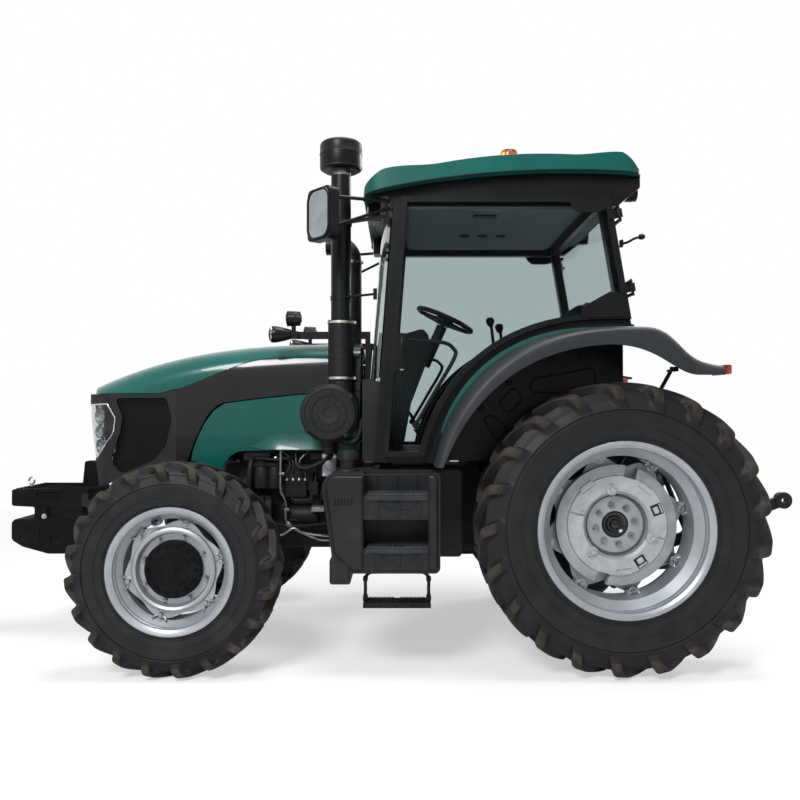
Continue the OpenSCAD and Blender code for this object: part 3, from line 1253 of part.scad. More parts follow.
// Steering column and instrument housing
wheel_x = rx + 872;
wheel_z = 1953;
wheel_tilt = 24;
wheel_r = 195;
column_r = 11;
module dash_console() {
    x1 = firewall_x - 40 - seat_gap;
    color("#1d1f22") union() {
        span_y(-210, 210) polygon(rounded([[x1, floor_top_z + seat_gap], [x1, 1500], [x1 - 34, 1820],
            [rx + 1010, 1880],
            [rx + 960, 1760], [rx + 1090, 1420], [rx + 1140, floor_top_z + seat_gap]],
                [0, 0, 40, 30, 30, 60, 0]));
        translate([wheel_x, 0, wheel_z]) rotate([0, -wheel_tilt, 0]) {
            rod_z(column_r, -220, 6);
            rod_z(34, -320, -46);
        }
    }
}
module steering_wheel() {
    color("#1b1d1f") translate([wheel_x, 0, wheel_z]) rotate([0, -wheel_tilt, 0]) difference() {
        union() {
            rotate_extrude() translate([wheel_r - 15, 0]) circle(r = 15);
            for (a = [90, 210, 330]) rotate([0, 0, a]) block([0, -16, -16], [wheel_r - 14, 16, -4]);
            rod_z(48, -36, 2);
        }
        rod_z(column_r + pin_gap, -50, 8);
    }
}

// Armrest console with its levers, to the driver's right
module control_console() {
    color("#1d1f22") union() {
        span_y(-540, -330) polygon(rounded([[rx + 120, deck_z + seat_gap], [rx + 610, deck_z + seat_gap],
            [rx + 620, 1600],
            [rx + 560, 1690], [rx + 120, 1660]], [0, 0, 40, 40, 30]));
        for (p = [[rx + 540, -380, 1985], [rx + 470, -450, 1950]]) {
            bar([p[0] - 40, p[1], 1650], p, 11);
            translate(p) sphere(r = 26, $fn = 24);
        }
    }
}

// Three-point hitch: raised as it stands; every part of it turns about Y

ball_end_r = 48;
ball_x = rx - rear_overhang + ball_end_r;
ball_z = 857;
ball_y = 430;
link_len = norm([ball_x - link_x, ball_z - link_z]);
link_turn = atan2(ball_z - link_z, link_x - ball_x);
rod_at = 449;
lift_turn = 31.9;
arm_end = [lift_x - lift_arm * cos(lift_turn), lift_z + lift_arm * sin(lift_turn)];
rod_end = [link_x - rod_at * cos(link_turn), link_z + rod_at * sin(link_turn)];
lift_pin_r = 14;
rod_pin_r = 12;
rod_top_y = 304;
rod_low_y = 338;
rod_play = 7.5;
module lower_links() {
    flare_y = ball_y - link_pin_y;
    mid_y = flare_y * rod_at / link_len;
    color("#1b1c1e") both_sides() translate([link_x, link_pin_y, link_z]) rotate(
        [0, link_turn, 0]) difference() {
        union() {
            span_z(-32, 32) polygon([[0, -13], [0, 13], [-120, 25], [-link_len, flare_y + 14],
                [-link_len, flare_y - 14], [-120, -4]]);
            rod_y(40, -16, 16);
            translate([-link_len, flare_y, 0]) rod_y(ball_end_r, -21, 21);
            translate([-rod_at, mid_y, 0]) rod_y(rod_pin_r, rod_low_y - 20 - link_pin_y - mid_y, 0);
        }
        rod_y(link_pin_r + pin_gap, -40, 40);
        translate([-link_len, flare_y, 0]) rod_y(link_ball_bore_r, -40, 40);
    }
}
module lift_arms() {
    color("#1b1c1e") both_sides() difference() {
        union() {
            translate([lift_x, 0, lift_z]) rotate([0, lift_turn, 0]) {
                span_y(236, 278) polygon(concat(arc(0, 0, 66, -70, 70, 8), arc(-lift_arm, 0, 32, 110,
                    250, 8)));
            }
            translate([arm_end[0], 0, arm_end[1]]) rod_y(lift_pin_r, 270, rod_top_y + 22);
        }
        translate([lift_x, 0, lift_z]) rod_y(rock_r + pin_gap, 200, 320);
    }
}
module lift_rods() {
    color("#222427") both_sides() difference() {
        union() {
            translate([arm_end[0], 0, arm_end[1]]) rod_y(30, rod_top_y - 14, rod_top_y + 14);
            translate([rod_end[0], 0, rod_end[1]]) rod_y(35, rod_low_y - 12, rod_low_y + 12);
            bar([arm_end[0], rod_top_y, arm_end[1]], [rod_end[0], rod_low_y, rod_end[1]], 15);
        }
        translate([arm_end[0], 0, arm_end[1]]) rod_y(lift_pin_r + pin_gap, 260, 400);
        translate([rod_end[0], 0, rod_end[1]]) rod_y(rod_pin_r + rod_play, 300, 420);
    }
}

// Wheels in place

module at_front(s) { translate([fx, s * front_y, fz]) side(s) children(); }
module at_rear(s) { translate([rx, s * rear_y, rz]) side(s) children(); }
module front_tyre() { color("#2b2c2d") tyre(front_tyre_r, front_tyre_w, front_rim_r, front_rim_w); }
module rear_tyre() { color("#2b2c2d") tyre(rear_tyre_r, rear_tyre_w, rear_rim_r, rear_rim_w); }

front_support();
front_weights();
engine();
radiator();
transmission();
rear_axle();
front_axle();
engine_side_panels();
cab_frame();
cab_floor();
windscreen();
roof_liner();
roof();
fenders();
fender_flares();
fuel_tank();
right_step_box();
hanging_steps();
air_intake();
exhaust();
mirrors();
front_indicators();
beacon();
work_lamps();
seat();
dash_console();
control_console();
drawbar();
bonnet();
bonnet_bands();
grille();
grille_mesh();
headlamps();
side(1) door();  // left_door
side(1) door_glass();  // left_door_glass
side(-1) door();  // right_door
side(-1) door_glass();  // right_door_glass
rear_window();
fender_stays();
rear_lamps();
steering_wheel();
placed_knuckle(1);  // left_knuckle
placed_knuckle(-1);  // right_knuckle
tie_rod();
at_front(1) front_tyre();  // left_front_tyre
at_front(1) front_wheel();  // left_front_wheel
at_front(1) front_hub();  // left_front_hub
at_front(-1) front_tyre();  // right_front_tyre
at_front(-1) front_wheel();  // right_front_wheel
at_front(-1) front_hub();  // right_front_hub
at_rear(1) rear_tyre();  // left_rear_tyre
at_rear(1) rear_wheel();  // left_rear_wheel
at_rear(1) wheel_weight();  // left_wheel_weight
at_rear(-1) rear_tyre();  // right_rear_tyre
at_rear(-1) rear_wheel();  // right_rear_wheel
at_rear(-1) wheel_weight();  // right_wheel_weight
lift_arms();
lift_rods();
lower_links();
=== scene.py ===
import math

import bpy
import numpy as np
from mathutils import Matrix, Vector


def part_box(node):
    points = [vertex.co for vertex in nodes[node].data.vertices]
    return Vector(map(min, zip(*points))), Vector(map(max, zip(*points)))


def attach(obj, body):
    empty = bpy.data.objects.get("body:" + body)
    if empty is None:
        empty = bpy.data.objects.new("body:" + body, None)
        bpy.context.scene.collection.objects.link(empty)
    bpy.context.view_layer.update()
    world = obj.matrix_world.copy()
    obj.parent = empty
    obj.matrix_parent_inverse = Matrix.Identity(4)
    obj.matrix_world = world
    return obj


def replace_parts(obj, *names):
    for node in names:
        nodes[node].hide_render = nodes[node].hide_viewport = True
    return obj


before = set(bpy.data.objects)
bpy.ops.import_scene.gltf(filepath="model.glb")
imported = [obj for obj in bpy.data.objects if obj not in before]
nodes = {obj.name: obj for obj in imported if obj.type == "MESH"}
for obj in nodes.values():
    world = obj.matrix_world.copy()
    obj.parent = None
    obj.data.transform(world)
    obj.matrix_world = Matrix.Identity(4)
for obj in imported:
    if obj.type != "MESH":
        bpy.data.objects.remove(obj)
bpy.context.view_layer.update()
scene = bpy.context.scene
print("frame loaded:", len(nodes), "CAD nodes")


# Colour and shader helpers

def hexColour(code):
    # sRGB hex to linear RGBA
    parts = [int(code[i:i + 2], 16) / 255 for i in (1, 3, 5)]
    return [c / 12.92 if c <= 0.04045 else ((c + 0.055) / 1.055) ** 2.4 for c in parts] + [1.0]


def addNode(tree, kind, links=None, **settings):
    node = tree.nodes.new("ShaderNode" + kind)
    for key, value in settings.items():
        setattr(node, key, value)
    for key, value in (links or {}).items():
        if isinstance(value, bpy.types.NodeSocket):
            tree.links.new(value, node.inputs[key])
        else:
            node.inputs[key].default_value = value
    return node


def newMaterial(name):
    material = bpy.data.materials.new(name)
    material.use_nodes = True
    tree = material.node_tree
    tree.nodes.clear()
    shader = addNode(tree, "BsdfPrincipled")
    output = addNode(tree, "OutputMaterial", {"Surface": shader.outputs[0]})
    return material, tree, shader, output


dirt = {"colour": "#8a8479", "patchMm": 140, "spread": (0.42, 0.75), "top": 1.3, "foot": 0.1, "leastShare": 0.15}


def surface(name, look):
    # A solid finish: two close tones clouded together, dust that gathers low down, roughness that wanders,
    # and a bump. Clouds and grain are in mm; grain finer than 3 mm is drawn coarser, so that it shows
    material, tree, shader, output = newMaterial(name)
    place = addNode(tree, "TexCoord").outputs["Object"]
    clouds = addNode(tree, "TexNoise", {"Vector": place, "Scale": 1000 / look["cloudMm"], "Detail": 5.0,
                                        "Roughness": 0.62})
    tone = addNode(tree, "ValToRGB", {"Fac": clouds.outputs[0]})
    for k, share in enumerate((0.36, 0.66)):
        tone.color_ramp.elements[k].position = share
        tone.color_ramp.elements[k].color = hexColour(look["tones"][k])
    colour = tone.outputs[0]
    if look.get("dust"):
        height = addNode(tree, "SeparateXYZ", {"Vector": place})
        low = addNode(tree, "MapRange", {"Value": height.outputs[2], "From Min": look.get("dustTop", dirt["top"]),
                                         "From Max": dirt["foot"], "To Min": dirt["leastShare"], "To Max": 1.0})
        patch = addNode(tree, "TexNoise", {"Vector": place, "Scale": 1000 / dirt["patchMm"], "Detail": 6.0,
                                           "Roughness": 0.7})
        spread = addNode(tree, "MapRange", {"Value": patch.outputs[0], "From Min": dirt["spread"][0],
                                            "From Max": dirt["spread"][1]})
        share = addNode(tree, "Math", {0: low.outputs[0], 1: spread.outputs[0]}, operation="MULTIPLY")
        amount = addNode(tree, "Math", {0: share.outputs[0], 1: look["dust"]}, operation="MULTIPLY")
        colour = addNode(tree, "Mix", {"Factor": amount.outputs[0], "A": colour,
                                       "B": hexColour(look.get("dustColour", dirt["colour"]))},
                         data_type="RGBA").outputs["Result"]
    rough = addNode(tree, "MapRange", {"Value": clouds.outputs[0], "From Min": 0.3, "From Max": 0.7,
                                       "To Min": look["rough"][0], "To Max": look["rough"][1]})
    grain = addNode(tree, "TexNoise", {"Vector": place, "Scale": 1000 / look["grainMm"], "Detail": 3.0})
    bump = addNode(tree, "Bump", {"Height": grain.outputs[0], "Strength": look["bump"],
                                  "Distance": look["grainMm"] / 4000})
    for socket, source in (("Base Color", colour), ("Roughness", rough.outputs[0]), ("Normal", bump.outputs[0])):
        tree.links.new(source, shader.inputs[socket])
    for socket, key, usual in (("Metallic", "metal", 0.0), ("Specular IOR Level", "shine", 0.5),
                               ("Coat Weight", "coat", 0.0), ("Coat Roughness", "coatRough", 0.05)):
        shader.inputs[socket].default_value = look.get(key, usual)
    return material


def pane(name, look):
    # Glass or clear plastic that lets the lamps' light through
    material, tree, shader, output = newMaterial(name)
    for socket, value in (("Base Color", hexColour(look["tint"])), ("Transmission Weight", 1.0),
                          ("Roughness", look["rough"]), ("IOR", look["index"])):
        shader.inputs[socket].default_value = value
    clear = addNode(tree, "BsdfTransparent", {"Color": hexColour(look["tint"])})
    rays = addNode(tree, "LightPath")
    through = addNode(tree, "Math", {0: rays.outputs["Is Shadow Ray"], 1: rays.outputs["Is Diffuse Ray"]},
                      operation="MAXIMUM")
    mix = addNode(tree, "MixShader", {0: through.outputs[0], 1: shader.outputs[0], 2: clear.outputs[0]})
    tree.links.new(mix.outputs[0], output.inputs["Surface"])
    return material


solids = {
    # Two-coat enamel, sprayed: deep teal with a clear reflection and slight orange peel
    "tealEnamel": dict(tones=("#02453f", "#034e48"), cloudMm=900, rough=(0.2, 0.28), shine=0.2, coat=0.3,
                       coatRough=0.03, grainMm=9, bump=0.02, dust=0.03, dustTop=1.6),
    # Painted polyester of the roof: the same teal with a satin skin, so that its flat top doesn't mirror the lamps
    "roofPolyester": dict(tones=("#02453f", "#034e48"), cloudMm=900, rough=(0.42, 0.52), shine=0.16, grainMm=9,
                          bump=0.04, dust=0.03, dustTop=1.6),
    # Gloss black enamel on the bonnet's bands: mirrors the studio, shows only a trace of dust
    "blackEnamel": dict(tones=("#030304", "#050607"), cloudMm=700, rough=(0.16, 0.24), shine=0.25, coat=0.3,
                        coatRough=0.04, grainMm=8, bump=0.03, dust=0.03, dustTop=1.7),
    # Painted castings: sand-cast pits under satin black paint
    "castingPaint": dict(tones=("#0b0c0e", "#131517"), cloudMm=160, rough=(0.42, 0.6), shine=0.16, grainMm=6,
                         bump=0.35, dust=0.1, dustTop=1.1),
    # Cast iron in matt black paint, on the hub covers and weights: swallows most of the studio's light
    "castBlack": dict(tones=("#060708", "#0b0c0e"), cloudMm=120, rough=(0.5, 0.64), shine=0.07, grainMm=6,
                      bump=0.3, dust=0.03, dustTop=1.1),
    # Steel sheet in satin black paint: smoother than the castings
    "frameBlack": dict(tones=("#08090b", "#0d0f11"), cloudMm=400, rough=(0.28, 0.4), shine=0.15, grainMm=5,
                       bump=0.05, dust=0.03, dustTop=1.6),
    # Rotational moulded polyethylene: soft black with a fine leathery grain
    "mouldedBlack": dict(tones=("#0f1113", "#161819"), cloudMm=220, rough=(0.4, 0.54), shine=0.2, grainMm=4,
                         bump=0.25, dust=0.06, dustTop=1.3),
    # Dark grey polypropylene of the flares: matt and evenly grained. On the step treads the same grey, lighter than
    # the moulded black round them, is painted highlight for their lit tops and lips
    "flareGrey": dict(tones=("#1b1e21", "#232629"), cloudMm=260, rough=(0.44, 0.56), shine=0.25, grainMm=4,
                      bump=0.2, dust=0.05, dustTop=2.2),
    # Aluminium flake wheel paint: pale silver with a soft broad highlight
    "wheelSilver": dict(tones=("#84898e", "#93979b"), cloudMm=180, rough=(0.34, 0.46), metal=0.5, grainMm=5,
                        bump=0.08, dust=0.08, dustTop=1.2),
    # Cast iron in the same silver paint: the skin of the casting shows through
    "castSilver": dict(tones=("#95999d", "#a6aaad"), cloudMm=60, rough=(0.42, 0.56), metal=0.45, grainMm=7,
                       bump=0.3, dust=0.1, dustTop=1.2),
    # Tyre rubber: carbon black with a grey bloom and dust in the tread
    "tyreRubber": dict(tones=("#0c0d0f", "#141517"), cloudMm=90, rough=(0.48, 0.66), shine=0.2, grainMm=5,
                       bump=0.18, dust=0.1, dustTop=1.7, dustColour="#5c5852"),
    # The same rubber on the lugs' outer faces: scuffed matt and brown with dry soil where they meet the ground, and
    # lighter as painted highlight where light catches the lugs
    "lugSoilAndHighlight": dict(tones=("#211e1b", "#322e28"), cloudMm=70, rough=(0.62, 0.8), shine=0.14, grainMm=5,
                      bump=0.25, dust=0.2, dustTop=1.7, dustColour="#6b6257"),
    # Zinc plated fasteners: bright, slightly yellow, finely streaked
    "zincPlate": dict(tones=("#a3a199", "#bdbcb5"), cloudMm=20, rough=(0.28, 0.42), metal=1.0, grainMm=3, bump=0.1),
    # Bare turned steel, oiled: a darker, softer shine than the zinc
    "bareSteel": dict(tones=("#77797b", "#909294"), cloudMm=40, rough=(0.24, 0.38), metal=1.0, grainMm=3, bump=0.08),
    # Vacuum plated trim: a clean mirror
    "chromeTrim": dict(tones=("#c8cacb", "#d6d8d9"), cloudMm=120, rough=(0.06, 0.12), metal=1.0, grainMm=6, bump=0.02),
    # Hard rubber of hoses, seals and mats: dull, nearly black
    "hoseRubber": dict(tones=("#08090a", "#0e0f10"), cloudMm=60, rough=(0.48, 0.62), shine=0.18, grainMm=4,
                       bump=0.2, dust=0.04, dustTop=1.6),
    # Moulded ABS of the cab interior: warm dark grey with a light grain
    "cabinGrey": dict(tones=("#1b1d1f", "#242628"), cloudMm=200, rough=(0.46, 0.58), shine=0.25, grainMm=4, bump=0.2),
    # Headliner felt: pale grey, fully matt
    "linerFelt": dict(tones=("#8d9194", "#9da1a4"), cloudMm=30, rough=(0.8, 0.92), shine=0.1, grainMm=3, bump=0.4),
    # Seat cloth of woven polyester, drawn at 6 mm so that the weave shows: flecked and fully matt
    "seatCloth": dict(tones=("#16181b", "#26292d"), cloudMm=12, rough=(0.8, 0.95), shine=0.1, grainMm=6, bump=0.5),
    # Diecast aluminium of pump and lamp housings: dull grey with a sandy skin
    "diecast": dict(tones=("#6b6e70", "#808385"), cloudMm=30, rough=(0.42, 0.56), metal=0.7, grainMm=4, bump=0.25,
                    dust=0.1),
    # Silvered mirror glass: a clear reflection with a faint grey cast
    "mirrorSilver": dict(tones=("#8f979c", "#a2a9ad"), cloudMm=90, rough=(0.02, 0.05), metal=1.0, grainMm=60,
                         bump=0.01),
    # Radiator core, soldered aluminium fins under black paint: a dull dark depth
    "coreBlack": dict(tones=("#08090a", "#101113"), cloudMm=14, rough=(0.5, 0.66), shine=0.12, grainMm=5, bump=0.4),
}
panes = {
    # Float glass: clear with a slight grey cast. Its index is lower than real, or the white studio would veil the cab
    "cabGlass": dict(tint="#c9d2d2", index=1.1, rough=0.0),
    # Polycarbonate lamp covers: nearly colourless, with a weak reflection
    "lampGlass": dict(tint="#e9eded", index=1.3, rough=0.0),
    # Amber acrylic: a warm orange, blurred as by fine ribs
    "amberLens": dict(tint="#d8601a", index=1.4, rough=0.15),
    # Red acrylic: a deep red, blurred in the same way
    "redLens": dict(tint="#c41410", index=1.49, rough=0.15),
}
nodeFinishes = {
    "tealEnamel": "bonnet engine_side_panels",
    "roofPolyester": "roof",
    "redLens": "rear_lamps",
    "blackEnamel": "bonnet_bands",
    "castingPaint": "front_support engine transmission rear_axle front_axle drawbar left_knuckle right_knuckle tie_rod"
                    " lift_arms lift_rods lower_links",
    "castBlack": "front_weights left_front_hub right_front_hub",
    "frameBlack": "cab_frame left_door right_door fenders mirrors exhaust hanging_steps front_indicators work_lamps"
                  " roof_liner fender_stays",
    "mouldedBlack": "fuel_tank right_step_box air_intake grille grille_mesh cab_floor",
    "flareGrey": "fender_flares",
    "wheelSilver": "left_front_wheel right_front_wheel left_rear_wheel right_rear_wheel",
    "castSilver": "left_wheel_weight right_wheel_weight",
    "cabinGrey": "dash_console control_console steering_wheel seat",
    "coreBlack": "radiator",
    "cabGlass": "windscreen left_door_glass right_door_glass rear_window",
    "lampGlass": "headlamps",
    "amberLens": "beacon",
}
finishes = {name: surface(name, look) for name, look in solids.items()}
finishes.update({name: pane(name, look) for name, look in panes.items()})
for finish, names in nodeFinishes.items():
    for name in names.split():
        if not nodes[name].material_slots:
            nodes[name].data.materials.append(finishes[finish])
        for slot in nodes[name].material_slots:
            slot.material = finishes[finish]
print("materials:", len(finishes))


# Mesh helpers, in millimetres: a shape is a list of points and one of faces, and a piece joins several shapes

xAxis, yAxis, zAxis = (1, 0, 0), (0, 1, 0), (0, 0, 1)
minusX, minusY, minusZ = (-1, 0, 0), (0, -1, 0), (0, 0, -1)
# Turns an outline in X and Y to face along X
facing = Matrix(((0, 0, 1, 0), (1, 0, 0, 0), (0, 1, 0, 0), (0, 0, 0, 1)))


def unit(t):
    return min(1.0, max(0.0, t))


def ease(t):
    t = unit(t)
    return t * t * (3 - 2 * t)


def polar(radius, a):
    return radius * math.cos(a), radius * math.sin(a)


def angles(count):
    return [2 * math.pi * k / count for k in range(count)]


def joined(shapes):
    points, faces, start = [], [], 0
    for shapePoints, shapeFaces in shapes:
        shapePoints = np.asarray(shapePoints, float).reshape(-1, 3)
        points.append(shapePoints)
        faces += [tuple(int(i) + start for i in face) for face in shapeFaces]
        start += len(shapePoints)
    return np.concatenate(points), faces


def placed(shape, matrix):
    points, faces = shape
    m = np.array(matrix)
    return np.asarray(points) @ m[:3, :3].T + m[:3, 3], faces


def shifted(shape, at):
    return placed(shape, Matrix.Translation(at))


def mirrored(shape):
    points, faces = shape
    points = np.array(points, float)
    points[:, 1] *= -1
    return points, [tuple(reversed(f)) for f in faces]


def both(shapes):
    return shapes + [mirrored(shape) for shape in shapes]


def around(count, start, make):
    return [make(math.radians(start + 360 * k / count)) for k in range(count)]


def aimed(at, direction, turn=0.0):
    # A frame at a point whose Z axis runs along a direction
    spin = Vector(direction).to_track_quat("Z", "Y").to_matrix().to_4x4()
    return Matrix.Translation(at) @ spin @ Matrix.Rotation(turn, 4, "Z")


def turnY(degrees):
    return Matrix.Rotation(-math.radians(degrees), 4, "Y")


def turned(profile, sides=32):
    # A profile of radius and Z, turned about Z; ends at radius 0 close to a point
    points, faces, rings = [], [], []
    for radius, z in profile:
        start = len(points)
        points += [(0, 0, z)] if radius < 1e-6 else [(*polar(radius, a), z) for a in angles(sides)]
        rings.append(list(range(start, len(points))))
    for a, b in zip(rings, rings[1:]):
        for k in range(sides):
            n = (k + 1) % sides
            if len(a) == 1 and len(b) > 1:
                faces.append((a[0], b[n], b[k]))
            elif len(b) == 1 and len(a) > 1:
                faces.append((a[k], a[n], b[0]))
            elif len(a) > 1:
                faces.append((a[k], a[n], b[n], b[k]))
    if profile[0] != profile[-1]:
        faces += [tuple(ends) for ends in (rings[0][::-1], rings[-1]) if len(ends) > 1]
    return points, faces


def disc(at, direction, profile, sides=32):
    return placed(turned(profile, sides), aimed(at, direction))


def ring(at, direction, radius, thick, sides=40, section=10):
    # A round bar bent to a circle
    profile = [(radius + y, z) for y, z in (polar(thick, a) for a in angles(section))]
    return disc(at, direction, profile + profile[:1], sides)


def stitched(rings, loop=False):
    # Quads between rings of points; the end rings are closed, or meet in a loop
    n, last = len(rings[0]), len(rings) - 1
    faces = []
    for r in range(last + loop):
        a, b = r * n, (r + 1) % len(rings) * n
        faces += [(a + k, a + (k + 1) % n, b + (k + 1) % n, b + k) for k in range(n)]
    if not loop:
        faces += [tuple(range(n - 1, -1, -1)), tuple(range(last * n, last * n + n))]
    return [tuple(q) for points in rings for q in points], faces


def smoothPath(points, steps=8):
    # A Catmull-Rom curve through the points
    p = [Vector(q) for q in points]
    p = [2 * p[0] - p[1]] + p + [2 * p[-1] - p[-2]]
    path = []
    for i in range(1, len(p) - 2):
        for k in range(steps):
            t = k / steps
            path.append(0.5 * ((2 * p[i]) + (p[i + 1] - p[i - 1]) * t
                               + (2 * p[i - 1] - 5 * p[i] + 4 * p[i + 1] - p[i + 2]) * t * t
                               + (3 * p[i] - p[i - 1] - 3 * p[i + 1] + p[i + 2]) * t ** 3))
    return path + [p[-2]]


def tube(path, radius, sides=12, loop=False):
    # A round bar along a path of points
    path = [Vector(q) for q in path]
    n, rings, side = len(path), [], None
    for i, q in enumerate(path):
        after, before = ((i + 1) % n, i - 1) if loop else (min(i + 1, n - 1), max(i - 1, 0))
        along = (path[after] - path[before]).normalized()
        side = (along.orthogonal() if side is None else side - along * side.dot(along)).normalized()
        up = along.cross(side)
        rings.append([q + (side * math.cos(a) + up * math.sin(a)) * radius for a in angles(sides)])
    return stitched(rings, loop)


def hoop(path, radius, sides=8):
    return tube(path, radius, sides, True)


def pipe(points, radius, steps=8, sides=12):
    return tube(smoothPath(points, steps), radius, sides)


def plate(outline, low, high, bevel=0.0):
    # An outline in X and Y, raised along Z, with its rims chamfered
    outline = [Vector((x, y)) for x, y in outline]
    n = len(outline)
    if sum(outline[i - 1].x * outline[i].y - outline[i].x * outline[i - 1].y for i in range(n)) < 0:
        outline.reverse()
    inner = []
    for i in range(n):
        a, b, c = outline[i - 1], outline[i], outline[(i + 1) % n]
        u, v = (b - a).normalized(), (c - b).normalized()
        normal = Vector((-(u.y + v.y), u.x + v.x))
        normal = normal.normalized() if normal.length > 1e-9 else Vector((-u.y, u.x))
        inner.append(b + normal * (bevel / max(0.35, normal.dot(Vector((-u.y, u.x))))))
    rows = [(outline, low), (outline, high)]
    if bevel:
        rows = [(inner, low), (outline, low + bevel), (outline, high - bevel), (inner, high)]
    return stitched([[(q.x, q.y, z) for q in line] for line, z in rows])


def sidePlate(outline, y0, y1, bevel=0.0):
    # An outline in X and Z, raised along Y
    return placed(plate(outline, -y1, -y0, bevel), Matrix.Rotation(math.pi / 2, 4, "X"))


def frontPlate(outline, x0, x1, bevel=0.0):
    # An outline in Y and Z, raised along X
    return placed(plate(outline, x0, x1, bevel), facing)


def oblong(x0, x1, y0, y1):
    return [(x0, y0), (x1, y0), (x1, y1), (x0, y1)]


def rounded(points, radii, steps=5):
    # A closed outline with its corners rounded
    out = []
    n = len(points)
    for i in range(n):
        a, b, c = (Vector(points[(i + k) % n]) for k in (-1, 0, 1))
        radius = radii[i] if isinstance(radii, (list, tuple)) else radii
        u, v = (a - b).normalized(), (c - b).normalized()
        half = math.acos(max(-1, min(1, u.dot(v)))) / 2
        if radius <= 0 or half > 1.56:
            out.append(tuple(b))
            continue
        t = min(radius / math.tan(half), 0.49 * (a - b).length, 0.49 * (c - b).length)
        r = t * math.tan(half)
        m = b + (u + v).normalized() * (r / math.sin(half))
        s, e = b + u * t - m, b + v * t - m
        first = math.atan2(s.y, s.x)
        turn = (math.atan2(e.y, e.x) - first + 3 * math.pi) % (2 * math.pi) - math.pi
        for k in range(steps + 1):
            x, y = polar(r, first + turn * k / steps)
            out.append((m.x + x, m.y + y))
    return out


def roundOutline(width, height, radius, steps=4):
    points = []
    for cx, cy, a in ((1, 1, 0), (-1, 1, 90), (-1, -1, 180), (1, -1, 270)):
        for k in range(steps + 1):
            x, y = polar(radius, math.radians(a + 90 * k / steps))
            points.append((cx * (width / 2 - radius) + x, cy * (height / 2 - radius) + y))
    return points


def roundBox(low, high, radius=3, bevel=2):
    # A box whose upright corners are rounded and whose rims are chamfered
    low, high = Vector(low), Vector(high)
    shape = plate(roundOutline(high.x - low.x, high.y - low.y, radius), low.z, high.z, bevel)
    return shifted(shape, ((low.x + high.x) / 2, (low.y + high.y) / 2, 0))


def boltHead(at, direction, across, height, washer=True, turn=0.0):
    # A hexagon head with its chamfer, on a washer
    r = across / math.sqrt(3)
    shapes = [turned([(r * 0.97, 0), (r, height * 0.08), (r, height * 0.75), (r * 0.86, height), (0, height)], 6)]
    if washer:
        shapes.append(turned([(r * 1.35, 0), (r * 1.35, height * 0.16), (0, height * 0.16)], 20))
    return placed(joined(shapes), aimed(at, direction, turn))


def loft(outer, inner):
    # A closed shell between two grids of points
    rows, cols = len(outer), len(outer[0])
    points = [q for row in outer for q in row] + [q for row in inner for q in row]
    base = rows * cols
    faces = []
    for i in range(rows - 1):
        for j in range(cols - 1):
            a, b, c, d = i * cols + j, i * cols + j + 1, (i + 1) * cols + j + 1, (i + 1) * cols + j
            faces += [(a, b, c, d), (base + a, base + d, base + c, base + b)]
        for j, turn in ((0, 1), (cols - 1, -1)):
            a, b = i * cols + j, (i + 1) * cols + j
            faces.append((a, b, base + b, base + a)[::turn])
    for j in range(cols - 1):
        for i, turn in ((0, -1), (rows - 1, 1)):
            a = i * cols + j
            faces.append((a, a + 1, base + a + 1, base + a)[::turn])
    return points, faces


def piece(name, shapes, finish, body="chassis", sharp=35):
    points, faces = joined(shapes)
    mesh = bpy.data.meshes.new(name)
    mesh.from_pydata([tuple(p) for p in points / 1000], [], faces)
    mesh.validate()
    mesh.polygons.foreach_set("use_smooth", [True] * len(mesh.polygons))
    mesh.set_sharp_from_angle(angle=math.radians(sharp))
    mesh.materials.append(finishes[finish])
    thing = bpy.data.objects.new(name, mesh)
    scene.collection.objects.link(thing)
    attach(thing, body)
    return thing


# Tyres: a moulded carcass with bias-angle drive lugs

axles = {"rear": (-1205, 840, 765), "front": (1125, 890, 555)}
tyreSizes = {
    "rear": {"radius": 765, "width": 430, "rim": 457, "rimWidth": 406, "lugs": 21, "lugHeight": 46},
    "front": {"radius": 555, "width": 320, "rim": 330, "rimWidth": 305, "lugs": 20, "lugHeight": 40},
}
# Shares of the radius or width, unless named as mm
tread = {"insetMm": 0.8, "casingMm": 30, "beadMm": 12.3, "footMm": 24.7, "wallMm": 4, "shoulder": 0.93, "half": 0.47,
         "pastHalf": 0.35, "fadeMm": 16, "lugFoot": 0.9, "lugFade": 0.1, "carcassFoot": 0.8, "carcassRise": 0.12,
         "lugFaceFrom": 0.885, "lugFaceRise": 0.9, "crownRows": 12}
# One lug and one gap round the tread: share of the pitch, share of the height
lugRise = [(0.0, 0.0), (0.02, 0.45), (0.045, 0.93), (0.065, 1.0), (0.27, 1.0), (0.30, 0.9),
           (0.36, 0.3), (0.42, 0.05), (0.5, 0.0), (0.64, 0.0), (0.78, 0.0), (0.92, 0.0)]


def wallPoint(size, t, inset):
    # Radius and Y on the sidewall, from the bead at 0 to the shoulder at 1
    low, bead = size["rim"] + tread["wallMm"], size["rimWidth"] / 2 - tread["beadMm"] - inset
    bulge = max(0, math.sin(math.radians(112 * t))) ** 0.7
    return low + (tread["shoulder"] * size["radius"] - low) * t, bead + (size["width"] / 2 - inset - bead) * bulge


def tyreHalf(size, inset):
    # Half a section from crown to bead, as radius and Y: the mould line of the CAD tyre, drawn in
    r, wide = size["radius"], size["width"] / 2 - inset
    return [(r - inset, 0), (r - inset - 0.006 * r, wide * 0.5), (r - inset - 0.022 * r, wide * 0.86)] + \
        [wallPoint(size, k / 8, inset) for k in range(8, -1, -1)] + \
        [(size["rim"] - tread["footMm"], size["rimWidth"] / 2 - tread["beadMm"] - inset)]


